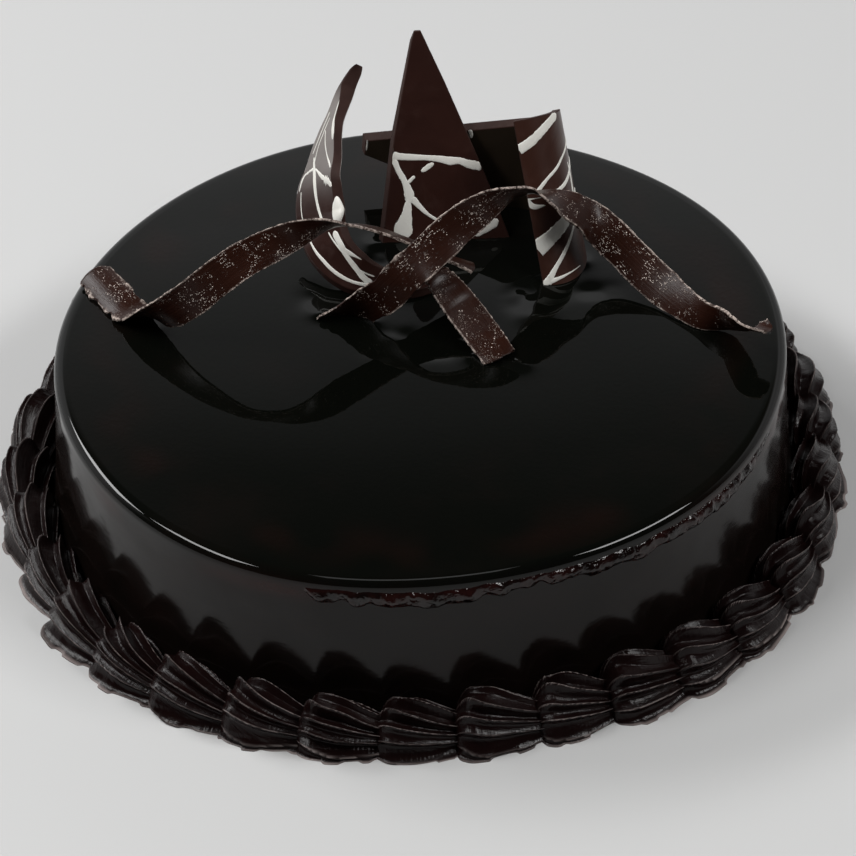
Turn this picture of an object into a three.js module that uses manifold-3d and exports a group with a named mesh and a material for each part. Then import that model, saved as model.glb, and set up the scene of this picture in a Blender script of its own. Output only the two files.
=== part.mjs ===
// A round chocolate truffle cake under a poured mirror glaze. A border of piped shells runs round
// its foot, and a garnish of chocolate plates and curled ribbons stands on its top.
// Millimetres, +Z up. The origin is the centre of the cake's flat base.
import * as THREE from "three";
import { mergeVertices } from "three/addons/utils/BufferGeometryUtils.js";
import Module from "manifold-3d";

const wasm = await Module();
wasm.setup();

// ---- driving dimensions ----
const CAKE_HEIGHT = 46;
const CAKE_TOP_RADIUS = 95;
const FOOT_FLARE = 2.6;
const RIM_RADIUS = 2.6;
const RIM_STEPS = 3;
const WALL_STEPS = 3;
const CAKE_SEGMENTS = 90;
// the hand-spread wall is not quite round: waves per turn, with their cosine and sine size
const WALL_WAVES = [
  { turns: 2, cosine: 0.66, sine: 1.04 },
  { turns: 3, cosine: 0.38, sine: -0.33 },
  { turns: 4, cosine: -0.29, sine: -0.08 },
  { turns: 5, cosine: -0.32, sine: 0.25 },
];

const GAP = 0.3;
const MERGE_DISTANCE = 1e-4;

const SHELL_COUNT = 33;
const SHELL_PITCH = (2 * Math.PI) / SHELL_COUNT;
const FIRST_SHELL_ANGLE = -Math.PI / 2;
const SHELL_LENGTH = 23.5;
const SHELL_WIDTH = 15;
const SHELL_HEIGHT = 15.5;
const SHELL_WALL_OVERLAP = 1.2;
const SHELL_STATIONS = 6;
// a shell starts this part of a pitch behind its own mark on the ring
const SHELL_BACKSET = 0.55;
// the head is already part swollen where it starts, and full after this part of the length
const HEAD_START = 0.1;
const HEAD_REACH = 0.3;
// the tail narrows from here on, by this much of the full size
const TAIL_START = 0.35;
const TAIL_DROP = 0.72;
// the foot of the shell keeps this part of its width however low the shell gets
const FOOT_SPREAD = 0.2;
const SHELL_RIDGES = 5;
const RIDGE_DEPTH = 0.13;
const RIDGE_SWEEP = 0.5;
const SHELL_UNEVENNESS = 0.06;
const SHELL_SHIFT = 0.012;
// how far each wave of the piping hand's unevenness moves on from shell to shell and trait to trait
const HAND_WAVES = [
  { perShell: 2.4, perTrait: 1.7 },
  { perShell: 1.1, perTrait: 2.9 },
];

const PLATE_THICKNESS = 2.2;
const RIBBON_THICKNESS = 1.3;
const RIBBON_STEPS = 38;

// ---- materials ----
const glaze = new THREE.MeshStandardMaterial({ color: 0x1c1816, roughness: 0.06, metalness: 0 });
const pipedGanache = new THREE.MeshStandardMaterial({ color: 0x22140f, roughness: 0.3, metalness: 0 });
const darkChocolate = new THREE.MeshStandardMaterial({ color: 0x3a2019, roughness: 0.35, metalness: 0 });
const curlChocolate = new THREE.MeshStandardMaterial({ color: 0x4b2a1e, roughness: 0.45, metalness: 0 });

// ---- solids and booleans ----
function toSolid(geometry) {
  const bare = geometry.clone();
  bare.deleteAttribute("normal");
  bare.deleteAttribute("uv");
  const merged = mergeVertices(bare, MERGE_DISTANCE);
  return new wasm.Manifold(
    new wasm.Mesh({
      numProp: 3,
      vertProperties: new Float32Array(merged.attributes.position.array),
      triVerts: new Uint32Array(merged.index.array),
    }),
  );
}

function toGeometry(solid) {
  const mesh = solid.getMesh();
  const geometry = new THREE.BufferGeometry();
  geometry.setAttribute("position", new THREE.BufferAttribute(mesh.vertProperties, 3));
  geometry.setIndex(new THREE.BufferAttribute(mesh.triVerts, 1));
  return geometry;
}

// Closed skin over a stack of equal rings of points, with a flat fan at either end. The rings run
// anticlockwise as seen from the last ring.
function skinOverRings(rings) {
  const around = rings[0].length;
  const positions = rings.flat().flatMap((point) => [point.x, point.y, point.z]);
  const triangles = [];
  for (let ring = 0; ring + 1 < rings.length; ring += 1) {
    for (let side = 0; side < around; side += 1) {
      const here = ring * around + side;
      const beside = ring * around + ((side + 1) % around);
      triangles.push(here, beside, beside + around);
      triangles.push(here, beside + around, here + around);
    }
  }
  const last = (rings.length - 1) * around;
  for (let side = 1; side + 1 < around; side += 1) {
    triangles.push(0, side + 1, side);
    triangles.push(last, last + side, last + side + 1);
  }
  const geometry = new THREE.BufferGeometry();
  geometry.setAttribute("position", new THREE.Float32BufferAttribute(positions, 3));
  geometry.setIndex(triangles);
  return geometry;
}

// ---- glazed cake ----
function wallWave(angle) {
  let offset = 0;
  for (const { turns, cosine, sine } of WALL_WAVES) {
    offset += cosine * Math.cos(turns * angle) + sine * Math.sin(turns * angle);
  }
  return offset;
}

// radius of the wall at a height: it flares a little towards the foot
function wallRadius(angle, height) {
  const drop = 1 - height / CAKE_HEIGHT;
  return CAKE_TOP_RADIUS + wallWave(angle) + FOOT_FLARE * drop * drop;
}

function cakeProfile() {
  const profile = [];
  for (let step = 0; step <= WALL_STEPS; step += 1) {
    profile.push({ inset: 0, height: ((CAKE_HEIGHT - RIM_RADIUS) * step) / WALL_STEPS });
  }
  for (let step = 1; step <= RIM_STEPS; step += 1) {
    const turn = (Math.PI / 2) * (step / RIM_STEPS);
    profile.push({
      inset: RIM_RADIUS * (1 - Math.cos(turn)),
      height: CAKE_HEIGHT - RIM_RADIUS * (1 - Math.sin(turn)),
    });
  }
  return profile;
}

// growth widens the cake all over, for cutting a clearance into what touches it
function cakeGeometry(growth) {
  const rings = cakeProfile().map(({ inset, height }) => {
    const ring = [];
    for (let side = 0; side < CAKE_SEGMENTS; side += 1) {
      const angle = (2 * Math.PI * side) / CAKE_SEGMENTS;
      const radius = wallRadius(angle, height) - inset + growth;
      const level = height === 0 ? -growth : height + growth;
      ring.push(new THREE.Vector3(radius * Math.cos(angle), radius * Math.sin(angle), level));
    }
    return ring;
  });
  return skinOverRings(rings);
}

// ---- piped shell border ----
// repeatable unevenness of a hand-piped shell, between -1 and 1
function handPiped(index, trait) {
  const [first, second] = HAND_WAVES;
  const swing = Math.sin(index * first.perShell + trait * first.perTrait);
  return swing * Math.cos(index * second.perShell + trait * second.perTrait);
}

// size of a shell along its length: a round head that swells quickly, then a long narrowing tail
function shellSwell(along) {
  const head = Math.sqrt(Math.min(1, (along + HEAD_START) / HEAD_REACH));
  const tail = 1 - TAIL_DROP * THREE.MathUtils.smoothstep(along, TAIL_START, 1);
  return head * tail;
}

// The star nozzle leaves ridges over the shell's back. They sweep outwards towards the tail.
// growth swells the shell smoothly all over, for cutting a clearance into the shell behind it.
function shellGeometry(index, growth) {
  const size = 1 + SHELL_UNEVENNESS * handPiped(index, 1);
  const shift = SHELL_SHIFT * handPiped(index, 2);
  const headAngle = FIRST_SHELL_ANGLE + SHELL_PITCH * (index - SHELL_BACKSET) + shift;
  const lastPoint = 2 * SHELL_RIDGES;
  const rings = [];
  for (let station = 0; station < SHELL_STATIONS; station += 1) {
    const along = station / (SHELL_STATIONS - 1);
    const swell = shellSwell(along) * size;
    const halfWidth = (SHELL_WIDTH / 2) * THREE.MathUtils.lerp(swell, 1, FOOT_SPREAD);
    const height = SHELL_HEIGHT * swell;
    const travel = along * SHELL_LENGTH + (2 * along - 1) * growth;
    const angle = headAngle + travel / (CAKE_TOP_RADIUS + SHELL_WIDTH / 2);
    const middle = wallRadius(angle, 0) - SHELL_WALL_OVERLAP + SHELL_WIDTH / 2;
    const ring = [];
    for (let point = 0; point <= lastPoint; point += 1) {
      const over = (Math.PI * point) / lastPoint;
      const groove = point % 2 === 1 && growth === 0 ? 1 - RIDGE_DEPTH : 1;
      const lean = over - RIDGE_SWEEP * (along - 0.5) * Math.sin(over);
      const outwards = Math.cos(lean) * (halfWidth * groove + growth);
      const up = point % lastPoint === 0 ? -growth : Math.sin(lean) * (height * groove + growth);
      const radius = middle + outwards;
      ring.push(new THREE.Vector3(radius * Math.cos(angle), radius * Math.sin(angle), up));
    }
    rings.push(ring.reverse());
  }
  return skinOverRings(rings);
}

// ---- chocolate ribbons ----
// Each guide is [x, y, height above the cake top, twist in degrees, width]. A twist of 0 lays the
// ribbon flat across its path, and 90 stands it on edge.
const LEFT_RIBBON = [
  [-86, 31.2, 2.0, 193, 9.5],
  [-79, 20, 1.7, 194, 9.5],
  [-74.4, 13.4, 1.9, 176, 9.5],
  [-69.2, 7.7, 5.4, 123, 9.5],
  [-64.3, 4.7, 9.6, 90, 9.8],
  [-58, 3.3, 15.5, 66, 9.8],
  [-47, 4.4, 24.6, 48, 9.6],
  [-38.5, 6.7, 28.2, 52, 9.2],
  [-29.4, 10.5, 29.7, 88, 8.4],
  [-19.1, 16, 27.4, 146, 8.2],
  [-9.6, 19, 23, 157, 8.2],
  [-0.7, 20.2, 17.4, 155, 8.6],
  [7.9, 20.8, 11.6, 154, 8.4],
  [14.4, 21.4, 7.8, 166, 7.6],
];
const RIGHT_RIBBON = [
  [-24.4, 13.8, -3.5, 128, 10.2],
  [-19.4, 11.9, 0.5, 118, 10.2],
  [-10.2, 9.1, 8.4, 76, 10.2],
  [0.1, 11.1, 18.2, 31, 10.4],
  [11.8, 18, 25.8, 58, 10],
  [17.9, 21.3, 28.1, 80, 9.6],
  [24.2, 25.2, 28, 114, 9.4],
  [29.5, 29.3, 25.8, 142, 9.6],
  [36.2, 30.6, 22.9, 171, 10.3],
  [42.2, 29.9, 19.9, 196, 10.3],
  [47.5, 29.6, 15, 220, 10.2],
  [53.2, 26.6, 10.2, 230, 10.2],
  [63.7, 16.2, 4.4, 222, 10],
  [69.5, 9.3, 3.6, 228, 8.6],
  [73.9, 4.7, 3.6, 252, 7.2],
  [80.4, 1.3, 4.6, 306, 7.4],
  [83.5, -3.8, 7.5, 330, 7.4],
  [85.7, -8, 10.1, 326, 6.6],
  [90.2, -9.5, 10.6, 322, 5.6],
];
const SHORT_RIBBON = [
  [4.4, 14.2, 12.4, 179, 8],
  [8.1, 10, 9.7, 188, 9.2],
  [12, 5.3, 6.5, 191, 9.8],
  [16.5, -0.5, 3.1, 188, 9.8],
  [20.9, -7.6, 0.4, 186, 9.4],
];
// a long pointed leaf: it lies on the cake at one end and curls up to its tip at the other
const LEAF = [
  [5.5, 22.6, 1.4, 343, 2.4],
  [-2.2, 22, 1.6, 340, 6.4],
  [-10.6, 23.1, 2.8, 318, 9.4],
  [-16.5, 24.6, 4.8, 305, 11.6],
  [-21.5, 28, 7.4, 303, 13.2],
  [-24.5, 33, 10.5, 309, 15.6],
  [-25.1, 38.1, 14.5, 316, 17.4],
  [-24.7, 43.6, 20.7, 318, 16.2],
  [-23.4, 47.4, 24.8, 324, 12.6],
  [-21.1, 53.5, 32.5, 322, 8],
  [-17.2, 58.9, 40.5, 350, 4],
  [-14.1, 61.6, 45.2, 354, 2.2],
];

// Strip of even thickness along smooth guides. Its frame is level across the path, then twisted.
function stripGeometry(guides, thickness) {
  const path = new THREE.CatmullRomCurve3(guides.map(([x, y, z]) => new THREE.Vector3(x, y, z)));
  const turning = new THREE.CatmullRomCurve3(
    guides.map(([, , , twist, width]) => new THREE.Vector3(twist, width, 0)),
  );
  const rings = [];
  for (let step = 0; step <= RIBBON_STEPS; step += 1) {
    const along = step / RIBBON_STEPS;
    const centre = path.getPoint(along);
    const ahead = path.getTangent(along);
    const { x: twist, y: width } = turning.getPoint(along);
    const level = new THREE.Vector3().crossVectors(ahead, new THREE.Vector3(0, 0, 1)).normalize();
    const across = level.applyAxisAngle(ahead, THREE.MathUtils.degToRad(twist));
    const through = new THREE.Vector3().crossVectors(ahead, across);
    const corners = [[1, 1], [-1, 1], [-1, -1], [1, -1]];
    rings.push(
      corners.map(([side, face]) => {
        const corner = centre.clone().addScaledVector(across, (side * width) / 2);
        return corner.addScaledVector(through, (face * thickness) / 2);
      }),
    );
  }
  const geometry = skinOverRings(rings);
  geometry.translate(0, 0, CAKE_HEIGHT);
  return geometry;
}

// ---- chocolate plates ----
// Flat plate cut to an outline. It is drawn upright in X and Y, then stood up facing -Y.
// Its lower edge is drawn below the cake top, so that the cut follows the glaze.
function flatPlateGeometry({ outline }, thickness) {
  const shape = new THREE.Shape(outline.map(([x, y]) => new THREE.Vector2(x, y)));
  const geometry = new THREE.ExtrudeGeometry(shape, { depth: thickness, bevelEnabled: false });
  geometry.translate(0, 0, -thickness / 2);
  geometry.rotateX(Math.PI / 2);
  return geometry;
}

const TALL_SHARD = {
  outline: [
    [0, -3],
    [35.9, -3],
    [35.4, 0],
    [29.6, 17],
    [19.8, 42],
    [13.9, 56],
    [12.2, 56],
    [11, 53.5],
    [4.9, 28],
  ],
  foot: [-10.8, 44.2, 0],
  turn: 1.6,
  lean: 29,
};
const REAR_SHARD = {
  outline: [
    [0, 10.2],
    [39, -1],
    [53, -1],
    [50, 30.4],
    [0.4, 15.9],
  ],
  foot: [-14.6, 70.6, 0],
  turn: -16.5,
  lean: 0,
};
// a piece of a tube: it leans back along its axis and is cut off by the cake top
const STRIPED_PLATE = {
  foot: [34, 36.1, 0],
  tip: [28.1, 55.5, 31.9],
  radius: 9.6,
  startDegrees: -116,
  endDegrees: -12,
  steps: 11,
  sunk: 12,
};

function standOnCake(geometry, { foot, turn, lean }) {
  geometry.rotateX(THREE.MathUtils.degToRad(-lean));
  geometry.rotateZ(THREE.MathUtils.degToRad(turn));
  geometry.translate(foot[0], foot[1], foot[2] + CAKE_HEIGHT);
  return geometry;
}

function curvedPlateGeometry({ foot, tip, radius, startDegrees, endDegrees, steps, sunk }, thickness) {
  const base = new THREE.Vector3(...foot);
  const upright = new THREE.Vector3(...tip).sub(base);
  const length = upright.length();
  upright.normalize();
  const sideways = new THREE.Vector3().crossVectors(upright, new THREE.Vector3(0, 0, 1)).normalize();
  const backwards = new THREE.Vector3().crossVectors(upright, sideways);
  const rings = [];
  for (let step = 0; step <= steps; step += 1) {
    const degrees = THREE.MathUtils.lerp(startDegrees, endDegrees, step / steps);
    const angle = THREE.MathUtils.degToRad(degrees);
    const outward = sideways.clone().multiplyScalar(Math.cos(angle));
    outward.addScaledVector(backwards, Math.sin(angle));
    const corners = [
      [radius + thickness / 2, -sunk],
      [radius - thickness / 2, -sunk],
      [radius - thickness / 2, length],
      [radius + thickness / 2, length],
    ];
    rings.push(
      corners.map(([reach, rise]) => {
        return base.clone().addScaledVector(outward, reach).addScaledVector(upright, rise);
      }),
    );
  }
  const geometry = skinOverRings(rings);
  geometry.translate(0, 0, CAKE_HEIGHT);
  return geometry;
}

// ---- assembly ----
const cake = new THREE.Group();

function addPart(name, solid, material) {
  const mesh = new THREE.Mesh(toGeometry(solid), material);
  mesh.name = name;
  cake.add(mesh);
}

addPart("cake_body", toSolid(cakeGeometry(0)), glaze);

const cakeClearance = toSolid(cakeGeometry(GAP));

for (let index = 0; index < SHELL_COUNT; index += 1) {
  const next = toSolid(shellGeometry((index + 1) % SHELL_COUNT, GAP));
  const shell = toSolid(shellGeometry(index, 0)).subtract(cakeClearance).subtract(next);
  addPart(`shell_${String(index + 1).padStart(2, "0")}`, shell, pipedGanache);
}

function addGarnish(name, geometry, material) {
  addPart(name, toSolid(geometry).subtract(cakeClearance), material);
}

function standingShard(shard) {
  return standOnCake(flatPlateGeometry(shard, PLATE_THICKNESS), shard);
}

addGarnish("leaf_plate", stripGeometry(LEAF, PLATE_THICKNESS), darkChocolate);
addGarnish("tall_shard", standingShard(TALL_SHARD), darkChocolate);
addGarnish("rear_shard", standingShard(REAR_SHARD), darkChocolate);
addGarnish("striped_plate", curvedPlateGeometry(STRIPED_PLATE, PLATE_THICKNESS), darkChocolate);
addGarnish("ribbon_left", stripGeometry(LEFT_RIBBON, RIBBON_THICKNESS), curlChocolate);
addGarnish("ribbon_right", stripGeometry(RIGHT_RIBBON, RIBBON_THICKNESS), curlChocolate);
addGarnish("ribbon_short", stripGeometry(SHORT_RIBBON, RIBBON_THICKNESS), curlChocolate);

export default cake;
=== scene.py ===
"""Looks of a round chocolate truffle cake: mirror glaze, piped ganache shells, chocolate garnish.

Metres, +Z up. The origin is the centre of the cake's flat base.
"""

import math
import random
from functools import partial
from types import SimpleNamespace

import bpy
import numpy as np
from mathutils import Matrix, Vector, noise


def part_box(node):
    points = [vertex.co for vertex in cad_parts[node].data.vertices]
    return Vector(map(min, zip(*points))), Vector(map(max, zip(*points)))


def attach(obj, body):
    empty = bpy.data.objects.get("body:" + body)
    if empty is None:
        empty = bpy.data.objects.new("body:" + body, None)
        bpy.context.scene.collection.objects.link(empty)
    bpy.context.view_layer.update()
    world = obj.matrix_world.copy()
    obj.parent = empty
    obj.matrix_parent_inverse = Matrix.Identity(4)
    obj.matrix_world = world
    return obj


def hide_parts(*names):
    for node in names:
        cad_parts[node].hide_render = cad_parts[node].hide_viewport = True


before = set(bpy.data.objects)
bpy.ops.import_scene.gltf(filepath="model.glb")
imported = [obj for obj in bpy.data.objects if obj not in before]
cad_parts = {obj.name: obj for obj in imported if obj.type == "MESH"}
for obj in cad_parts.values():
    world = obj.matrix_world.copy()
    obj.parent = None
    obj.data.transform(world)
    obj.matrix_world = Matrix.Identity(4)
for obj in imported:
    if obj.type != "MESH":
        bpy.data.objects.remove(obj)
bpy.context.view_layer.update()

MM = 0.001
FULL_TURN = 2 * math.pi


# ---------------------------------------------------------------- camera

# The picture is this many pixels on a side, and the lens spreads one radian over FOCAL_PIXELS of them
IMAGE_SIDE = 856
FOCAL_PIXELS = 5500
SENSOR_WIDTH = 36.0
CAMERA_PLACE = Vector((0.0, -1.1147, 0.9445))
CAMERA_DOWN = math.radians(39.74)
CAMERA_TURN = math.radians(0.08)
CAMERA_ROLL = math.radians(-1.457)
NEAREST_SEEN = 0.05
FARTHEST_SEEN = 20.0


def make_camera():
    """The camera stands in front of the cake and looks down on it through a long lens."""
    ahead = Vector((
        math.sin(CAMERA_TURN) * math.cos(CAMERA_DOWN),
        math.cos(CAMERA_TURN) * math.cos(CAMERA_DOWN),
        -math.sin(CAMERA_DOWN),
    ))
    level = Vector((math.cos(CAMERA_TURN), -math.sin(CAMERA_TURN), 0.0))
    upright = level.cross(ahead)
    right = math.cos(CAMERA_ROLL) * level + math.sin(CAMERA_ROLL) * upright
    up = math.cos(CAMERA_ROLL) * upright - math.sin(CAMERA_ROLL) * level
    data = bpy.data.cameras.new("camera")
    data.sensor_width = SENSOR_WIDTH
    data.lens = SENSOR_WIDTH * FOCAL_PIXELS / IMAGE_SIDE
    data.clip_start = NEAREST_SEEN
    data.clip_end = FARTHEST_SEEN
    camera = bpy.data.objects.new("camera", data)
    turn = Matrix((right, up, -ahead)).transposed()
    camera.matrix_world = Matrix.Translation(CAMERA_PLACE) @ turn.to_4x4()
    bpy.context.scene.collection.objects.link(camera)
    bpy.context.scene.camera = camera


# ---------------------------------------------------------------- shader maths


class Tone:
    """A number that changes over a surface. Arithmetic on it adds Math nodes."""

    def __init__(self, finish, socket):
        self.finish = finish
        self.socket = socket

    def _with(self, operation, first, second):
        made = self.finish.node("ShaderNodeMath", {"operation": operation}, {0: first, 1: second})
        return Tone(self.finish, made.outputs[0])

    def __add__(self, other):
        return self._with("ADD", self, other)

    def __radd__(self, other):
        return self._with("ADD", other, self)

    def __sub__(self, other):
        return self._with("SUBTRACT", self, other)

    def __rsub__(self, other):
        return self._with("SUBTRACT", other, self)

    def __mul__(self, other):
        return self._with("MULTIPLY", self, other)

    def __rmul__(self, other):
        return self._with("MULTIPLY", other, self)

    def between(self, low, high):
        """0 below low, 1 above high, and smooth from one to the other."""
        made = self.finish.node(
            "ShaderNodeMapRange",
            {"interpolation_type": "SMOOTHSTEP"},
            {"Value": self, "From Min": low, "From Max": high, "To Min": 0.0, "To Max": 1.0},
        )
        return Tone(self.finish, made.outputs["Result"])


class Finish:
    """A node tree being built, for a material or for the room's light."""

    def __init__(self, tree):
        self.tree = tree

    def node(self, kind, settings, sockets):
        """Adds a node of this kind: its settings first, then the values or links of its sockets."""
        made = self.tree.nodes.new(kind)
        for name, value in settings.items():
            setattr(made, name, value)
        for name, value in sockets.items():
            self.feed(made.inputs[name], value)
        return made

    def feed(self, socket, value):
        if isinstance(value, Tone):
            value = value.socket
        if isinstance(value, bpy.types.NodeSocket):
            self.tree.links.new(value, socket)
        else:
            socket.default_value = value

    def place(self, coordinates="Object", stretch=(1.0, 1.0, 1.0)):
        """Where on the piece the surface is, stretched along its axes."""
        found = self.node("ShaderNodeTexCoord", {}, {}).outputs[coordinates]
        if stretch == (1.0, 1.0, 1.0):
            return found
        scaled = self.node("ShaderNodeVectorMath", {"operation": "MULTIPLY"}, {0: found, 1: stretch})
        return scaled.outputs[0]

    def along(self, vector, axis):
        split = self.node("ShaderNodeSeparateXYZ", {}, {"Vector": vector})
        return Tone(self, split.outputs[axis])

    def mottle(self, vector, scale, detail=3.0, roughness=0.6, distortion=0.0):
        """Cloudy patches between 0 and 1, about this many to the metre."""
        made = self.node("ShaderNodeTexNoise", {}, {
            "Vector": vector,
            "Scale": scale,
            "Detail": detail,
            "Roughness": roughness,
            "Distortion": distortion,
        })
        return Tone(self, made.outputs[0])

    def cells(self, vector, scale):
        """Distance to the nearest of many scattered points."""
        made = self.node("ShaderNodeTexVoronoi", {}, {"Vector": vector, "Scale": scale})
        return Tone(self, made.outputs["Distance"])

    def painted(self, name):
        """A number kept on the mesh's own points."""
        made = self.node("ShaderNodeAttribute", {"attribute_name": name}, {})
        return Tone(self, made.outputs["Fac"])

    def blend(self, share, first, second):
        made = self.node("ShaderNodeMix", {"data_type": "RGBA"}, {0: share, 6: first, 7: second})
        return made.outputs[2]

    def relief(self, height, depth, under=None):
        """A bump of this depth in metres, over another one if it is given."""
        sockets = {"Height": height, "Distance": depth, "Strength": 1.0}
        if under is not None:
            sockets["Normal"] = under
        return self.node("ShaderNodeBump", {}, sockets).outputs[0]


def colour(red, green, blue):
    """An sRGB colour on a scale of 255, as linear light."""
    def linear(value):
        share = value / 255
        return share / 12.92 if share <= 0.04045 else ((share + 0.055) / 1.055) ** 2.4

    return (linear(red), linear(green), linear(blue), 1.0)


def new_material(name):
    """A material, its Finish, and where on a piece its surface is."""
    material = bpy.data.materials.new(name)
    material.use_nodes = True
    finish = Finish(material.node_tree)
    return material, finish, finish.place()


def dressed(material, finish, sockets):
    """The material, with its shader's sockets set or linked."""
    shader = material.node_tree.nodes["Principled BSDF"]
    for name, value in sockets.items():
        finish.feed(shader.inputs[name], value)
    return material


# ---------------------------------------------------------------- finishes


def mirror_glaze():
    """Poured glaze: mirror smooth and near black, a little red where it runs thin under the rim."""
    material, finish, here = new_material("mirror_glaze")
    height = finish.along(here, "Z")
    wall = 1 - height.between(0.040, 0.0455)
    thin = finish.painted("thin_glaze")
    patches = finish.mottle(here, 26.0, detail=4.0, roughness=0.55).between(0.5, 0.8)
    smears = finish.mottle(finish.place(stretch=(1.0, 1.0, 2.6)), 60.0, detail=5.0)
    # The wall is browner than the top in smears: partly the glaze's own warmth, partly a painted warm
    # reflection
    body = finish.blend(patches * 0.25 + wall * smears, colour(6, 7, 5), colour(24, 15, 13))
    tinted = finish.blend(thin * (0.3 + smears), body, colour(48, 20, 16))
    fine = finish.mottle(here, 700.0)
    skin = finish.relief(smears * wall, 0.0001)
    pitted = finish.relief(fine * (0.1 + thin), 0.00002, skin)
    return dressed(material, finish, {
        "Base Color": tinted,
        "Roughness": 0.012 + wall * (0.07 + smears * 0.12) * (1 - thin),
        "Normal": pitted,
        "IOR": 1.32,
    })


def glaze_lip():
    """Where the second coat of glaze ended: a dark red, crinkled lip that glints."""
    material, finish, here = new_material("glaze_lip")
    crinkles = finish.mottle(here, 260.0, detail=4.0)
    patches = finish.mottle(here, 150.0, roughness=0.55).between(0.35, 0.7)
    return dressed(material, finish, {
        "Base Color": finish.blend(patches, colour(11, 4, 3), colour(33, 12, 10)),
        "Roughness": 0.03 + crinkles * 0.06,
        "Normal": finish.relief(crinkles, 0.0008),
        "IOR": 1.42,
    })


def piped_ganache():
    """Whipped ganache with a soft gloss, dragged by the nozzle into fine streaks and creases."""
    material, finish, here = new_material("piped_ganache")
    streaks = finish.mottle(finish.place("UV", (70.0, 3.0, 1.0)), 1.0)
    creases = finish.mottle(finish.place("UV", (5.0, 34.0, 1.0)), 1.0, roughness=0.55)
    grain = finish.mottle(here, 1100.0)
    patches = finish.mottle(here, 120.0, roughness=0.5)
    dull = finish.mottle(here, 60.0, detail=2.0, roughness=0.5).between(0.35, 0.7)
    pits = 1 - finish.cells(here, 420.0).between(0.05, 0.22)
    # Painted highlight: the crest attribute turns the fins' crests and the skirt's thin edge pale grey,
    # standing in for the light they catch
    crest_highlight = finish.painted("crest_highlight") * (0.3 + dull * 0.7)
    mass = finish.blend(patches, colour(12, 5, 5), colour(25, 12, 11))
    body = finish.blend(crest_highlight, mass, colour(150, 138, 135))
    pulled = finish.relief(streaks, 0.0001)
    creased = finish.relief(creases, 0.0002, pulled)
    grained = finish.relief(grain, 0.00002, creased)
    return dressed(material, finish, {
        "Base Color": body,
        "Roughness": 0.11 + dull * 0.12 + grain * 0.04,
        "Normal": finish.relief(1 - pits, 0.00004, grained),
        "IOR": 1.27,
    })


def sheet_chocolate(name, dark, light):
    """Tempered chocolate sheet, satin, with faint swirls from the spreading knife."""
    material, finish, here = new_material(name)
    swirls = finish.mottle(here, 70.0, detail=4.0, roughness=0.55, distortion=1.4)
    bloom = finish.mottle(here, 160.0, detail=4.0).between(0.5, 0.8)
    grain = finish.mottle(here, 1500.0, detail=2.0, roughness=0.5)
    body = finish.blend(swirls, dark, light)
    dusted = finish.blend(bloom * 0.2, body, colour(84, 58, 50))
    # Painted sheen: where a mesh's scuff attribute is set the colour goes pale grey, standing in for a
    # reflection; only the leaf sets it
    painted_sheen = finish.painted("scuff_and_sheen") * (0.75 + swirls * 0.5)
    spread = finish.relief(swirls, 0.00015)
    return dressed(material, finish, {
        "Base Color": finish.blend(painted_sheen, dusted, colour(146, 140, 136)),
        "Roughness": 0.26 + bloom * 0.16 + swirls * 0.08,
        "Normal": finish.relief(grain, 0.000012, spread),
        "IOR": 1.46,
    })


def cut_chocolate():
    """Snapped edge of a chocolate sheet: paler, dull and slightly crumbled."""
    material, finish, here = new_material("cut_chocolate")
    crumble = finish.mottle(here, 900.0, detail=4.0, roughness=0.65)
    patches = finish.mottle(here, 240.0, roughness=0.5)
    body = finish.blend(patches, colour(38, 23, 19), colour(60, 39, 34))
    return dressed(material, finish, {
        "Base Color": body,
        "Roughness": 0.5 + crumble * 0.2,
        "Normal": finish.relief(crumble, 0.00008),
        "IOR": 1.22,
    })


def shade_tuned_chocolate():
    """Plain side of a sheet that was never drizzled, very dark, with a soft polish: a greyer copy of the
    sheet chocolate whose tone was set to how the rear plate looks in the shade of the others, so painted
    light.
    """
    material, finish, here = new_material("shade_tuned_chocolate")
    swirls = finish.mottle(here, 90.0, detail=4.0, roughness=0.55, distortion=1.0)
    grain = finish.mottle(here, 1500.0, detail=2.0, roughness=0.5)
    spread = finish.relief(swirls, 0.0001)
    return dressed(material, finish, {
        "Base Color": finish.blend(swirls, colour(40, 33, 25), colour(56, 46, 36)),
        "Roughness": 0.3 + swirls * 0.1,
        "Normal": finish.relief(grain, 0.000012, spread),
        "IOR": 1.42,
    })


def ribbon_chocolate():
    """Curled chocolate ribbon with pale scuffs, specks and fine lines along its length."""
    material, finish, here = new_material("ribbon_chocolate")
    scuffed = finish.painted("scuff_and_sheen")
    edge = finish.painted("ribbon_edge")
    lines = finish.mottle(finish.place("UV", (26.0, 5.0, 1.0)), 1.0, detail=4.0)
    patches = finish.mottle(here, 110.0, detail=4.0)
    lengthwise = 1 - finish.cells(finish.place("UV", (34.0, 70.0, 1.0)), 1.0).between(0.12, 0.24)
    crosswise = 1 - finish.cells(finish.place("UV", (8.0, 420.0, 1.0)), 1.0).between(0.1, 0.22)
    specks = 1 - finish.cells(here, 900.0).between(0.1, 0.2)
    dust = 1 - finish.cells(here, 1700.0).between(0.14, 0.28)
    clumps = finish.mottle(here, 210.0).between(0.38, 0.61)
    pale = (lengthwise * 0.7 + crosswise * 0.9 + specks + dust * 0.6) * clumps * scuffed
    crumbled = edge * finish.mottle(here, 900.0, roughness=0.7).between(0.36, 0.62)
    body = finish.blend(patches, colour(28, 13, 8), colour(47, 23, 15))
    lined = finish.blend(lines.between(0.5, 0.8) * 0.35, body, colour(72, 46, 36))
    worn = finish.blend(crumbled * 0.85, lined, colour(200, 184, 174))
    dusted = finish.blend(pale.between(0.25, 0.6), worn, colour(214, 200, 190))
    brushed = finish.relief(lines, 0.00005)
    return dressed(material, finish, {
        "Base Color": dusted,
        "Roughness": 0.22 + lines * 0.14 + pale * 0.2 + edge * 0.15,
        "Normal": finish.relief(pale + crumbled, 0.0001, brushed),
        "IOR": 1.26,
    })


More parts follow.
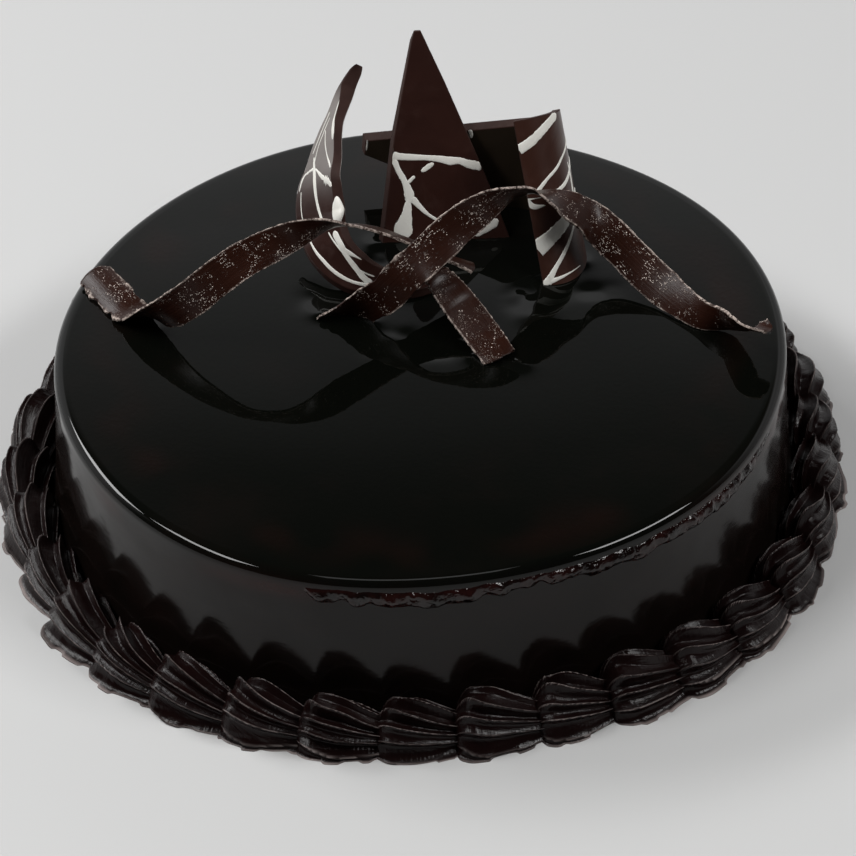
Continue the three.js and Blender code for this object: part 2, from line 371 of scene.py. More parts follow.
def white_chocolate():
    """Smooth white chocolate, a little cream, brushed on in thin lines."""
    material, finish, here = new_material("white_chocolate")
    patches = finish.mottle(here, 220.0, detail=4.0)
    grain = finish.mottle(here, 1400.0)
    thin = finish.mottle(here, 420.0, detail=4.0, roughness=0.65).between(0.56, 0.8)
    body = finish.blend(patches, colour(243, 242, 236), colour(226, 223, 213))
    return dressed(material, finish, {
        "Base Color": finish.blend(thin * 0.25, body, colour(150, 136, 124)),
        "Roughness": 0.3 + grain * 0.15,
        "Normal": finish.relief(grain + patches, 0.00003),
        "IOR": 1.45,
    })


def pale_floor():
    """Plain matt floor, nearly white."""
    material, finish, here = new_material("pale_floor")
    tone = finish.mottle(here, 1.4, detail=2.0, roughness=0.5)
    return dressed(material, finish, {
        "Base Color": finish.blend(tone, colour(196, 196, 196), colour(201, 201, 200)),
        "Roughness": 0.7 + tone * 0.1,
    })


# ---------------------------------------------------------------- mesh tools


def add_mesh(name, points, faces, materials):
    mesh = bpy.data.meshes.new(name)
    mesh.from_pydata([tuple(point) for point in points], [], faces)
    mesh.update()
    for material in materials:
        mesh.materials.append(material)
    mesh.shade_smooth()
    piece = bpy.data.objects.new(name, mesh)
    bpy.context.scene.collection.objects.link(piece)
    return piece


def finish_piece(piece, slot, *nodes):
    """Every piece rides on the cake's one body, and may stand for CAD nodes."""
    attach(piece, "root")
    if nodes:
        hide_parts(*nodes)


def paint(piece, name, values):
    """Keeps one number for each point of the mesh."""
    layer = piece.data.attributes.new(name, "FLOAT", "POINT")
    layer.data.foreach_set("value", np.asarray(values, np.float32))


def ring_faces(rings, around):
    """Quads between closed rings of equal size, where the points of a ring follow one another."""
    faces = []
    for ring in range(rings - 1):
        here = ring * around
        for side in range(around):
            beside = (side + 1) % around
            faces.append((here + side, here + beside, here + around + beside, here + around + side))
    return faces


def end_fans(around, last):
    """Triangles that close the first ring and the last, to the two points that follow the last ring."""
    faces = []
    middle = last + around
    for side in range(around):
        beside = (side + 1) % around
        faces.append((middle, side, beside))
        faces.append((middle + 1, last + beside, last + side))
    return faces


def sheet_faces(steps, across, first=0):
    """Quads of an open sheet, whose points run across it row by row."""
    faces = []
    row = across + 1
    for step in range(steps):
        for part in range(across):
            here = first + step * row + part
            faces.append((here, here + 1, here + row + 1, here + row))
    return faces


def set_uv(piece, places):
    """Gives each corner the (u, v) of its point."""
    layer = piece.data.uv_layers.new(name="UVMap")
    corners = np.zeros(len(piece.data.loops), np.int32)
    piece.data.loops.foreach_get("vertex_index", corners)
    layer.data.foreach_set("uv", np.asarray(places, np.float32)[corners].ravel())


def smoothstep(low, high, value):
    share = min(1.0, max(0.0, (value - low) / (high - low)))
    return share * share * (3 - 2 * share)


def ripple(x, y, z, seed):
    """Smooth unevenness between about -1 and 1 at a place. Each seed looks at a far part of the pattern."""
    return noise.noise(Vector((x + 17.3 * seed, y - 9.1 * seed, z + 5.7 * seed)))


def with_changes(base, changes, share):
    """A size along a strip: the base, and each change (amount, from, to) as far as it has happened."""
    return base + sum(amount * smoothstep(start, end, share) for amount, start, end in changes)


# ---------------------------------------------------------------- glazed cake
#
# Radii, heights and reaches are in metres where they are multiplied by MM, and in mm where they are not.

CAKE_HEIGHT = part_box("cake_body")[1].z
RIM_RADIUS = 2.6 * MM
CAKE_AROUND = 480
TOP_RINGS = 88
RIM_STEPS = 14
# The wall has close rings in its upper part, where the glaze is uneven
UPPER_WALL = 8.0 * MM
UPPER_WALL_RINGS = 30
LOWER_WALL_RINGS = 36
WALL_WAVES = 7
SAME_LEVEL = 0.01 * MM


def fourier_ring(level):
    """The CAD wall's radius at a level as a smooth function of the angle, in metres."""
    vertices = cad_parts["cake_body"].data.vertices
    ring = [vertex.co for vertex in vertices if abs(vertex.co.z - level) < SAME_LEVEL]
    angles = np.array([math.atan2(point.y, point.x) for point in ring])
    radii = np.array([math.hypot(point.x, point.y) for point in ring])
    columns = [np.ones_like(angles)]
    for wave in range(1, WALL_WAVES):
        columns += [np.cos(wave * angles), np.sin(wave * angles)]
    sizes = [float(size) for size in np.linalg.lstsq(np.stack(columns, 1), radii, rcond=None)[0]]

    def radius(angle):
        total = sizes[0]
        for wave in range(1, WALL_WAVES):
            total += sizes[2 * wave - 1] * math.cos(wave * angle)
            total += sizes[2 * wave] * math.sin(wave * angle)
        return total

    return radius


def round_axis(radius, angle):
    """x and y of a place at a distance from the cake's axis."""
    return radius * math.cos(angle), radius * math.sin(angle)


def on_cake(place):
    """A place given in mm over the middle of the cake's top, in metres."""
    return place * MM + Vector((0, 0, CAKE_HEIGHT))


foot_radius = fourier_ring(0.0)
top_radius = fourier_ring(CAKE_HEIGHT - RIM_RADIUS)
CAKE_TOP_MM = top_radius(0.0) / MM


def wall_radius(angle, height):
    """The bare wall leans out towards its foot, along a curve."""
    drop = 1 - height / CAKE_HEIGHT
    top = top_radius(angle)
    return top + (foot_radius(angle) - top) * drop * drop


# The poured top has slow waves: their height and reach, in mm
TOP_WAVE_HEIGHT = 0.05
TOP_WAVE_REACH = 46
# Dents that the garnish pressed into the soft glaze: x, y, reach along x, reach along y and depth, in mm
DENTS = [
    (3, -1, 9, 4, 0.30),
    (13, 1, 5, 4, -0.24),
    (-6, 2, 6, 4, 0.2),
    (27, 22, 4, 9, 0.26),
    (31, 12, 5, 5, -0.2),
    (45, 21, 6, 3, 0.18),
    (-26, 20, 5, 7, 0.12),
    (-12, 37, 5, 3, 0.24),
    (19, 40, 8, 3, 0.2),
]
# How much of a dent's depth stays all over it, and how much comes and goes with a ripple
DENT_STEADY = 0.6
DENT_UNEVEN = 0.8
DENT_RIPPLE_REACH = 6
DENT_END = 6
# Where the garnish stands in the glaze, which climbs a little way up it: two ends of each foot, in mm
GLAZE_FEET = [
    ((-10.8, 43.3), (24.6, 44.3)),
    ((22.8, 59.5), (36.2, 55.5)),
    ((29.5, 27.5), (43.0, 33.0)),
    ((-25.0, 14.0), (-13.0, 10.5)),
    ((-86.0, 31.0), (-71.0, 9.5)),
    ((14.5, -5.5), (25.5, -9.0)),
    ((-18.0, 24.0), (4.0, 21.0)),
]
CLIMB_HEIGHT = 0.45
CLIMB_REACH = 1.3
# Runs of glaze on the wall: size in mm, waves round the cake, waves to the metre up it, and seed
WALL_RUNS = [(0.42, 2.6, 42, 6), (0.26, 7, 70, 7), (0.05, 17, 150, 10)]
RUNS_BEGIN = 2 * MM
RUNS_FULL = 9 * MM
# The top evens out over the last few rings before the rim
RIM_CALM_POWER = 12
# Zones of thin glaze: most thinness, middle and reach in mm, patches to the metre, patch begins, patch full
THIN_NEAR_RIM = (0.15, 82, 7, 70, -0.2, 0.6)
THIN_UNDER_RIM = (0.7, 5.0, 2.6, 34, -0.1, 0.5)
# Where the ragged lip under the rim shows: from and to, in degrees round the cake
LIP_STRETCHES = [(-109, -16), (31, 88), (138, 171)]
LIP_STEP = 0.22
LIP_ACROSS = 12
LIP_PROUD = 1.2
LIP_SUNK = 0.08
# Waves of the lip, slow, quick and ragged: reach in mm and seed
LIP_WAVES = [(17, 3), (4.6, 4), (1.7, 5)]
# Depth of the lip's top and foot under the cake's top, and how far each wave moves them, in mm
LIP_TOP = 3.2
LIP_TOP_SWAY = (0.7, 0.6, 0.3)
LIP_FOOT = 8.1
LIP_FOOT_SWAY = (0.9, 1.1, 0.4)
LIP_THINNEST = 0.25
LIP_TAPER_IN = 0.03
LIP_TAPER_OUT = 0.25
# The lip gets thick as its slow wave, with this share of the quick one, rises between two levels
LIP_QUICK_SHARE = 0.5
LIP_THICK_BETWEEN = (-1.1, -0.1)
LIP_SWELL_POWER = 0.75
# Crinkles of the lip: how strong they are, their reach round the cake in mm, and how many go down it
LIP_CRINKLE = 0.5
LIP_CRINKLE_REACH = 2.0
LIP_CRINKLES_DOWN = 2.4


def segment_distance(x, y, start, end):
    """How far a place is from the line between two others."""
    ax, ay = start
    bx, by = end
    span = (bx - ax) ** 2 + (by - ay) ** 2
    share = min(1.0, max(0.0, ((x - ax) * (bx - ax) + (y - ay) * (by - ay)) / span))
    return math.hypot(x - ax - share * (bx - ax), y - ay - share * (by - ay))


def glaze_level(x, y):
    """Height of the poured top over its mean level, in mm, at a place in mm."""
    level = TOP_WAVE_HEIGHT * ripple(x / TOP_WAVE_REACH, y / TOP_WAVE_REACH, 0.0, 1)
    wobble = DENT_STEADY + DENT_UNEVEN * ripple(x / DENT_RIPPLE_REACH, y / DENT_RIPPLE_REACH, 0.0, 2)
    for dent_x, dent_y, reach_x, reach_y, depth in DENTS:
        away = ((x - dent_x) / reach_x) ** 2 + ((y - dent_y) / reach_y) ** 2
        if away < DENT_END:
            level -= depth * wobble * math.exp(-away)
    for start, end in GLAZE_FEET:
        level += CLIMB_HEIGHT * math.exp(-segment_distance(x, y, start, end) / CLIMB_REACH)
    return level


def cake_radius(angle, height):
    """The glazed wall and rounded rim, a little wavy where the glaze ran down, in metres."""
    x, y = math.cos(angle), math.sin(angle)
    above = max(0.0, height - CAKE_HEIGHT + RIM_RADIUS)
    inset = RIM_RADIUS - math.sqrt(max(0.0, RIM_RADIUS ** 2 - above ** 2))
    runs = 0.0
    for size, round_it, up_it, seed in WALL_RUNS:
        runs += size * ripple(round_it * x, round_it * y, up_it * height, seed)
    settled = smoothstep(RUNS_BEGIN, RUNS_FULL, CAKE_HEIGHT - height)
    return wall_radius(angle, height) - inset + MM * settled * runs


def thin_share(zone, place, x, y):
    """How thin the glaze is at a place in mm across a zone: thin in patches, which fade at its ends."""
    most, middle, reach, patches, begins, full = zone
    within = math.exp(-((place - middle) / reach) ** 2)
    return most * within * smoothstep(begins, full, ripple(x * patches, y * patches, 0.0, 8))


def wall_heights():
    """Heights of the cake's rings from the rounded rim down to the foot."""
    below = CAKE_HEIGHT - RIM_RADIUS
    rim = 1 - np.cos(math.pi / 2 * np.arange(1, RIM_STEPS + 1) / RIM_STEPS)
    upper = np.arange(1, UPPER_WALL_RINGS + 1) / UPPER_WALL_RINGS
    lower = 1 - np.arange(1, LOWER_WALL_RINGS + 1) / LOWER_WALL_RINGS
    heights = [CAKE_HEIGHT - RIM_RADIUS * rim, below - UPPER_WALL * upper, (below - UPPER_WALL) * lower]
    return np.concatenate(heights).tolist()


def make_cake(material):
    """The cake under its glaze: rings over the top, round the rim and down the wall."""
    angles = [FULL_TURN * side / CAKE_AROUND for side in range(CAKE_AROUND)]
    points = []
    thin = []
    for ring in range(1, TOP_RINGS + 1):
        share = ring / TOP_RINGS
        calm = 1 - share ** RIM_CALM_POWER
        for angle in angles:
            radius = (top_radius(angle) - RIM_RADIUS) * share
            x, y = round_axis(radius, angle)
            points.append((x, y, CAKE_HEIGHT + MM * calm * glaze_level(x / MM, y / MM)))
            thin.append(thin_share(THIN_NEAR_RIM, radius / MM, x, y))
    heights = wall_heights()
    for height in heights:
        for angle in angles:
            radius = cake_radius(angle, height)
            x, y = round_axis(radius, angle)
            points.append((x, y, height))
            thin.append(thin_share(THIN_UNDER_RIM, (CAKE_HEIGHT - height) / MM, x, y))
    rings = TOP_RINGS + len(heights)
    faces = [tuple(reversed(face)) for face in ring_faces(rings, CAKE_AROUND)]
    faces += end_fans(CAKE_AROUND, (rings - 1) * CAKE_AROUND)
    points += [(0, 0, CAKE_HEIGHT + MM * glaze_level(0, 0)), (0, 0, 0)]
    thin += [0.0, 0.0]
    piece = add_mesh("glazed_cake", points, faces, [material])
    paint(piece, "thin_glaze", np.clip(thin, 0, 1))
    finish_piece(piece, "mirror_glaze", "cake_body")


def lip_row(angle, full):
    """Points of the lip from its top down to its foot, at an angle where it is this full."""
    around = angle * CAKE_TOP_MM
    waves = [ripple(around / reach, 0.0, 0.0, seed) for reach, seed in LIP_WAVES]
    top = LIP_TOP + sum(sway * wave for sway, wave in zip(LIP_TOP_SWAY, waves))
    foot = LIP_FOOT + sum(sway * wave for sway, wave in zip(LIP_FOOT_SWAY, waves))
    thick = full * smoothstep(*LIP_THICK_BETWEEN, waves[0] + LIP_QUICK_SHARE * waves[1])
    tall = (foot - top) * (LIP_THINNEST + (1 - LIP_THINNEST) * thick)
    row = []
    for part in range(LIP_ACROSS + 1):
        down = part / LIP_ACROSS
        height = CAKE_HEIGHT - (top + tall * down) * MM
        swell = max(0.0, math.sin(math.pi * down)) ** LIP_SWELL_POWER
        crinkle = 1 + LIP_CRINKLE * ripple(around / LIP_CRINKLE_REACH, down * LIP_CRINKLES_DOWN, 0.0, 9)
        radius = cake_radius(angle, height) + (LIP_PROUD * thick * swell * crinkle - LIP_SUNK) * MM
        row.append((*round_axis(radius, angle), height))
    return row


def make_lip(material):
    """Ragged lip of glaze on the wall under the rim, in a few stretches that taper out."""
    points = []
    faces = []
    for start, end in LIP_STRETCHES:
        steps = int(math.radians(end - start) * CAKE_TOP_MM / LIP_STEP)
        faces += sheet_faces(steps, LIP_ACROSS, len(points))
        for step in range(steps + 1):
            share = step / steps
            full = smoothstep(0.0, LIP_TAPER_IN, share) * smoothstep(0.0, LIP_TAPER_OUT, 1 - share)
            points += lip_row(math.radians(start + (end - start) * share), full)
    piece = add_mesh("lip_of_glaze", points, faces, [material])
    finish_piece(piece, "mirror_glaze")


# ---------------------------------------------------------------- piped shell border

# Sizes in mm. Shares are of the shell's length, counted from its head, and angles go from its outer foot
# over its back to the wall, in radians.
SHELL_LENGTH = 26.5
SHELL_WIDTH = 15.4
SHELL_WALL_OVERLAP = 1.6
SHELL_MIDDLE = 0.46
SHELL_STATIONS = 46
SHELL_AROUND = 176
SHELL_UNDER = 5
# Stations stand closer together at the head
STATION_POWER = 1.15
HEAD_SHARE = 0.2
HEAD_BLUNT = 0.1
# The head's tip is as large as the shell is this far on, so that it isn't a point
HEAD_TIP = 0.003
TAIL_FROM = 0.3
TAIL_DROP = 0.5
BACK_POWER = 0.9
# Fins pressed by the nozzle, which gather towards the foot and the wall and sweep back from the head
FIN_DEPTH = 0.22
FIN_LIP_SHARE = 0.22
FIN_GATHER = 0.14
FIN_WANDER = 0.16
FIN_FADE_IN = 0.1
FIN_TAIL_FADE = 0.4
FIN_TAIL_FROM = 0.8
FIN_LIP_POWER = 1.3
# Width of the painted highlight along each fin's crest, as a share of one fin
CREST_HIGHLIGHT_SHARE = 0.04
CURL_LENGTH = 0.24
SWEEP_FROM = -0.3
SWEEP_FULL = 1.2
BODY_UNEVEN = 0.03
# Thin skirt along the outer foot: its reach, how ragged it is, and the torn tabs on it
SKIRT_ANGLE = 0.2
SKIRT_REACH = 1.5
SKIRT_RAGGED = 0.5
SKIRT_TABS = 0.9
SKIRT_THIN = 0.15
SKIRT_OUT_POWER = 1.3
SKIRT_UP_POWER = 1.6
# A tab sticks out as its ripple rises between these levels
SKIRT_TAB_BETWEEN = (0.05, 0.18)
# The skirt narrows where the shell's size, times this, is under its full size
SKIRT_FULL = 1.6
# The skirt's thin edge gets a painted highlight, which fades out between these angles
SKIRT_HIGHLIGHT_BETWEEN = (0.02, 0.06)
# Every shell draws its own shares of the sizes and its own fins from these ranges, in this order
SHELL_SEED = 100
SHELL_DRAWS = {
    "width": (0.94, 1.05),
    "height": (0.98, 1.04),
    "length": (0.96, 1.04),
    "fins": (5.1, 6.1),
    "phase": (0.0, 1.0),
    "sweep": (0.65, 0.95),
    "depth": (0.85, 1.15),
    "lean": (-0.05, 0.07),
}
FIN_STRENGTH = (0.55, 1.15)
STRENGTH_COUNT = 16


def draw_shell(node, index):
    """A shell's place from its CAD solid, and the sizes and fins that it draws for itself."""
    draw = random.Random(SHELL_SEED + index)
    shell = SimpleNamespace(**{name: draw.uniform(*limits) for name, limits in SHELL_DRAWS.items()})
    shell.strengths = [draw.uniform(*FIN_STRENGTH) for _ in range(STRENGTH_COUNT)]
    low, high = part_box(node)
    middle = (low + high) / 2
    shell.index = index
    shell.angle = math.atan2(middle.y, middle.x)
    shell.width *= SHELL_WIDTH
    shell.height *= high.z / MM
    shell.length *= SHELL_LENGTH
    shell.depth *= FIN_DEPTH
    return shell


def shell_swell(along):
    """Size along the shell: a blunt head, then a tail that narrows under the next head."""
    head = math.sqrt(1 - (1 - min(1.0, along / HEAD_SHARE)) ** 2)
    return head * (1 - TAIL_DROP * smoothstep(TAIL_FROM, 1.0, along))


def shell_station(shell, along):
    """What the shell's whole section has in common at a share of its length."""
    swell = shell_swell(max(along, HEAD_TIP))
    ragged = ripple(along * 6, shell.index * 3.1, 0.0, 12)
    tabs = smoothstep(*SKIRT_TAB_BETWEEN, ripple(along * 4.2, shell.index * 1.7, 0.0, 13))
    tail = smoothstep(FIN_TAIL_FROM, 1.0, along)
    return SimpleNamespace(
        along=along,
        swell=swell,
        half=shell.width / 2 * (HEAD_BLUNT + (1 - HEAD_BLUNT) * swell),
        skirt=(SKIRT_REACH + SKIRT_RAGGED * ragged + SKIRT_TABS * tabs) * min(1.0, swell * SKIRT_FULL),
        fade=smoothstep(0.0, FIN_FADE_IN, along) * (1 - FIN_TAIL_FADE * tail),
        curl=1 - math.exp(-along / CURL_LENGTH),
    )


def fin_hollow(place):
    """Depth from 0 on a fin to 1 in the hollow beside it, which ends under the next fin's lip."""
    rise = 1 - FIN_LIP_SHARE
    if place < rise:
        return 1 - (1 - place / rise) ** 2
    return 1 - ((place - rise) / FIN_LIP_SHARE) ** FIN_LIP_POWER


def shell_point(shell, station, over):
    """Point of a section at an angle: how far out and up it is, in mm, and how much painted crest highlight
    it has.
    """
    wander = FIN_WANDER * ripple(over * 1.4, station.along * 2.2, shell.index * 1.3, 15)
    spaced = over + FIN_GATHER * math.sin(2 * over)
    swept = shell.sweep * station.curl * smoothstep(SWEEP_FROM, SWEEP_FULL, over)
    turn = shell.fins * (spaced + swept) / math.pi + shell.phase + wander
    fin = math.floor(turn)
    strength = shell.strengths[fin % STRENGTH_COUNT]
    shrink = 1 - shell.depth * strength * fin_hollow(turn - fin) * station.fade
    shrink *= 1 + BODY_UNEVEN * ripple(station.along * 4.5, over * 2.2, shell.index, 14)
    up = max(0.0, math.sin(over)) ** BACK_POWER * shell.height * station.swell * shrink
    out = math.cos(over) * station.half * shrink + shell.lean * up
    if over < SKIRT_ANGLE:
        out += station.skirt * (1 - over / SKIRT_ANGLE) ** SKIRT_OUT_POWER
        up *= SKIRT_THIN + (1 - SKIRT_THIN) * (over / SKIRT_ANGLE) ** SKIRT_UP_POWER
    ridge_highlight = strength * math.exp(-((turn - fin) / CREST_HIGHLIGHT_SHARE) ** 2)
    return out, up, station.fade * max(ridge_highlight, 1 - smoothstep(*SKIRT_HIGHLIGHT_BETWEEN, over))


def make_shell(node, index, material):
    """One shell, pressed out of a star nozzle: sharp fins run over its head and down to its tail."""
    shell = draw_shell(node, index)
    points = []
    places = []
    crest_highlights = []
    for step in range(SHELL_STATIONS + 1):
        station = shell_station(shell, (step / SHELL_STATIONS) ** STATION_POWER)
        passed = (station.along - SHELL_MIDDLE) * shell.length
        angle = shell.angle + passed / (CAKE_TOP_MM + SHELL_WIDTH / 2)
        centre = wall_radius(angle, 0.0) / MM - SHELL_WALL_OVERLAP + shell.width / 2
        for point in range(SHELL_AROUND):
            out, up, crest_highlight = shell_point(shell, station, math.pi * point / (SHELL_AROUND - 1))
            points.append((*round_axis((centre + out) * MM, angle), up * MM))
            places.append((point / SHELL_AROUND + shell.sweep * station.curl / math.pi, station.along))
            crest_highlights.append(crest_highlight)
        outer = Vector(points[-SHELL_AROUND])
        inner = Vector(points[-1])
        for under in range(1, SHELL_UNDER + 1):
            share = under / (SHELL_UNDER + 1)
            points.append((*inner.lerp(outer, share).xy, 0.0))
            places.append((1 + share, station.along))
            crest_highlights.append(0.0)
    around = SHELL_AROUND + SHELL_UNDER
    faces = [tuple(reversed(face)) for face in ring_faces(SHELL_STATIONS + 1, around)]
    tail = SHELL_STATIONS * around
    faces += end_fans(around, tail)
    for first in (0, tail):
        points.append(tuple(np.mean(points[first:first + around], axis=0)))
        places.append((0.5, first / tail))
        crest_highlights.append(0.0)
    piece = add_mesh(node.replace("shell", "piped_shell"), points, faces, [material])
    set_uv(piece, places)
    # The crest attribute is a painted highlight along the fins' crests and the skirt's edge
    paint(piece, "crest_highlight", crest_highlights)
    finish_piece(piece, "piped_ganache", node)


def make_border(material):
    names = sorted(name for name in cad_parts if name.startswith("shell_"))
    for index, node in enumerate(names):
        make_shell(node, index, material)


# ---------------------------------------------------------------- ribbons and leaf

# Each guide is [x, y, height above the cake top, twist in degrees, width], in mm.
LEFT_RIBBON = [
    [-86, 31.2, 2.0, 193, 9.5],
    [-79, 20, 1.7, 194, 9.5],
    [-74.4, 13.4, 1.9, 176, 9.5],
    [-69.2, 7.7, 5.4, 123, 9.5],
    [-64.3, 4.7, 9.6, 90, 9.8],
    [-58, 3.3, 15.5, 66, 9.8],
    [-47, 4.4, 24.6, 48, 9.6],
    [-38.5, 6.7, 28.2, 52, 9.2],
    [-29.4, 10.5, 29.7, 88, 8.4],
    [-19.1, 16, 27.4, 146, 8.2],
    [-9.6, 19, 23, 157, 8.2],
    [-0.7, 20.2, 17.4, 155, 8.6],
    [7.9, 20.8, 11.6, 154, 8.4],
    [14.4, 21.4, 7.8, 166, 7.6],
]
RIGHT_RIBBON = [
    [-24.4, 13.8, -3.5, 128, 10.2],
    [-19.4, 11.9, 0.5, 118, 10.2],
    [-10.2, 9.1, 8.4, 76, 10.2],
    [0.1, 11.1, 18.2, 31, 10.4],
    [11.8, 18, 25.8, 58, 10],
    [17.9, 21.3, 28.1, 80, 9.6],
    [24.2, 25.2, 28, 114, 9.4],
    [29.5, 29.3, 25.8, 142, 9.6],
    [36.2, 30.6, 22.9, 171, 10.3],
    [42.2, 29.9, 19.9, 196, 10.3],
    [47.5, 29.6, 15, 220, 10.2],
    [53.2, 26.6, 10.2, 230, 10.2],
    [63.7, 16.2, 4.4, 222, 10],
    [69.5, 9.3, 3.6, 228, 8.6],
    [73.9, 4.7, 3.6, 246, 7.8],
    [80.4, 1.3, 4.6, 286, 7.4],
    [83.5, -3.8, 7.5, 314, 7.4],
    [85.7, -8, 10.1, 330, 6.6],
    [90.8, -9.6, 10.6, 356, 6.0],
]
SHORT_RIBBON = [
    [4.4, 14.2, 12.4, 179, 8],
    [8.1, 10, 9.7, 188, 9.2],
    [12, 5.3, 6.5, 191, 9.8],
    [16.5, -0.5, 3.1, 188, 9.8],
    [20.9, -7.6, 0.4, 186, 9.4],
]
LEAF = [
    [5.5, 22.6, 1.4, 343, 2.4],
    [-2.2, 22, 1.6, 340, 6.4],
    [-10.6, 23.1, 2.8, 318, 9.4],
    [-16.5, 24.6, 4.8, 305, 11.6],
    [-21.5, 28, 7.4, 303, 13.2],
    [-24.5, 33, 10.5, 309, 15.6],
    [-25.1, 38.1, 14.5, 316, 17.4],
    [-24.7, 43.6, 20.7, 318, 16.2],
    [-23.4, 47.4, 24.8, 324, 12.6],
    [-21.1, 53.5, 32.5, 322, 8],
    [-17.2, 58.9, 40.5, 350, 4],
    [-14.1, 61.6, 45.2, 354, 2.2],
]
RIBBON_THICKNESS = 0.8
PLATE_THICKNESS = 2.2
RIBBON_UNEVEN = 0.15
# How far before and after a share of a strip its direction is found
STRIP_NUDGE = 1e-4
# This many mm across a strip are one unit of its pattern
STRIP_PATTERN = 10
# How a section's corners are rounded, and how many points its corners and flat sides have
EDGE_ROUND = 0.22
CORNER_SHARE = 0.45
CORNER_PARTS = 3
FLAT_PARTS = 9
SIDE_POINTS = CORNER_PARTS + FLAT_PARTS
# Ribbons are bowed across, most near their ends
MIDDLE_BOW = 0.35
END_BOW = 0.7
END_BOW_BETWEEN = (0.02, 0.2)
BOW_SWAY = 0.35
# Chips in the ribbons' edges: depth, how many along the ribbon, and seed. They are wilder at the start.
EDGE_CHIPS = [(0.2, 34, 21), (0.16, 110, 22)]
WILDEST_CHIPS = 3.6
CHIPS_CALM = [(-2.6, 0.08, 0.26)]
# Torn ends: how long a share they take, how round their corners are and how ragged they are
FRAYED_SHARE = 0.02
FRAYED_ROUND = 1.3
FRAYED_RAGGED = 0.9
# The pale worn band along each edge: where it begins and where it is full, in from the edge
EDGE_BAND = (0.32, 0.12)
# Ribbons: side, guides, steps along it, scuffs all over, and more of them in patches (amount, middle, reach)
RIBBONS = [
    ("left", LEFT_RIBBON, 380, 0.3, [(0.7, 0.52, 0.2), (0.6, 0.1, 0.13)]),
    ("right", RIGHT_RIBBON, 440, 0.5, [(0.4, 0.22, 0.2), (0.4, 0.62, 0.14)]),
    ("short", SHORT_RIBBON, 110, 0.7, []),
]
# The leaf changes along its length: amount, from and to, as shares of it
LEAF_STEPS = 200
LEAF_SEED = 4
LEAF_SLANT = 1.0
LEAF_SLANT_CHANGES = [(1.5, 0.42, 0.56), (-0.8, 0.66, 0.78), (2.0, 0.84, 0.93)]
LEAF_SLANT_MOST = 0.85
LEAF_LEFT_SLANT = 0.2
LEAF_BACK_CHANGES = [(-0.8, 0.4, 0.55), (0.8, 0.76, 0.88)]
LEAF_UNDERCUT = 1.5
LEAF_UNDERCUT_CHANGES = [(-1.5, 0.45, 0.6)]
# Pale grey sheen painted on the leaf's upper part, standing in for the reflection of the bright room
LEAF_PAINTED_SHEEN_CHANGES = [(0.72, 0.56, 0.74), (-0.72, 0.86, 0.93)]
LEAF_TIP_FROM = 0.965
LEAF_TIP_NARROWS = 0.96
# Sides of the leaf's section that were cut and show the inside of the chocolate
LEAF_CUT_SIDES = (1, 2, 4)


def curve_through(guides, share):
    """Point at a share of a smooth curve through the guides, with knots spaced by root distance."""
    rows = [np.array(guide, float) for guide in guides]
    rows = [2 * rows[0] - rows[1], *rows, 2 * rows[-1] - rows[-2]]
    place = share * (len(guides) - 1)
    span = min(int(place), len(guides) - 2)
    local = place - span
    before, start, end, after = rows[span:span + 4]
    gaps = [math.sqrt(np.linalg.norm(b - a)) for a, b in ((before, start), (start, end), (end, after))]
    leave = (start - before) / gaps[0] - (end - before) / (gaps[0] + gaps[1]) + (end - start) / gaps[1]
    arrive = (end - start) / gaps[1] - (after - start) / (gaps[1] + gaps[2]) + (after - end) / gaps[2]
    leave *= gaps[1]
    arrive *= gaps[1]
    cubic = 2 * start - 2 * end + leave + arrive
    square = -3 * start + 3 * end - 2 * leave - arrive
    return start + leave * local + square * local ** 2 + cubic * local ** 3


def strip_frame(guides, share):
    """Centre, direction, across, through and width of a strip at a share of its length, in mm."""
    path = [guide[:3] for guide in guides]
    turning = [guide[3:] for guide in guides]
    centre = Vector(curve_through(path, share))
    before = Vector(curve_through(path, max(0.0, share - STRIP_NUDGE)))
    after = Vector(curve_through(path, min(1.0, share + STRIP_NUDGE)))
    ahead = (after - before).normalized()
    twist, width = curve_through(turning, share)
    level = ahead.cross(Vector((0, 0, 1))).normalized()
    across = Matrix.Rotation(math.radians(twist), 3, ahead) @ level
    return centre, ahead, across, ahead.cross(across), width


def rounded_section(outline, radius):
    """Closed outline of a strip's section, across and through, with every corner rounded off."""
    rounded = []
    count = len(outline)
    for index, corner in enumerate(outline):
        corner = Vector(corner)
        before = Vector(outline[index - 1]) - corner
        after = Vector(outline[(index + 1) % count]) - corner
        reach = min(radius, CORNER_SHARE * before.length, CORNER_SHARE * after.length)
        start = corner + before.normalized() * reach
        end = corner + after.normalized() * reach
        for step in range(CORNER_PARTS + 1):
            share = step / CORNER_PARTS
            bend = (1 - share) ** 2 * start + 2 * share * (1 - share) * corner + share ** 2 * end
            rounded.append(bend)
        ahead = corner + after - after.normalized() * min(radius, CORNER_SHARE * after.length)
        for part in range(1, FLAT_PARTS):
            passed = 0.5 - 0.5 * math.cos(math.pi * part / FLAT_PARTS)
            rounded.append(end.lerp(ahead, passed))
    return rounded


def ribbon_section(seed, share, width):
    """Thin section, bowed near the ribbon's ends, whose two edges are chipped on their own."""
    wild = with_changes(WILDEST_CHIPS, CHIPS_CALM, share)
    edges = []
    for side in (0, 1):
        chips = (depth * ripple(share * many, seed, side * 5.0, own) for depth, many, own in EDGE_CHIPS)
        edges.append(width / 2 + wild * sum(chips))
    right, left = edges
    thick = RIBBON_THICKNESS / 2 * (1 + RIBBON_UNEVEN * ripple(share * 12, seed, 2.0, 23))
    flat = rounded_section([(right, thick), (-left, thick), (-left, -thick), (right, -thick)], EDGE_ROUND)
    bow = MIDDLE_BOW + END_BOW * (1 - smoothstep(*END_BOW_BETWEEN, min(share, 1 - share)))
    bow += BOW_SWAY * ripple(share * 9, seed, 4.0, 24)
    return [(side, face + bow * (1 - (2 * side / width) ** 2)) for side, face in flat]


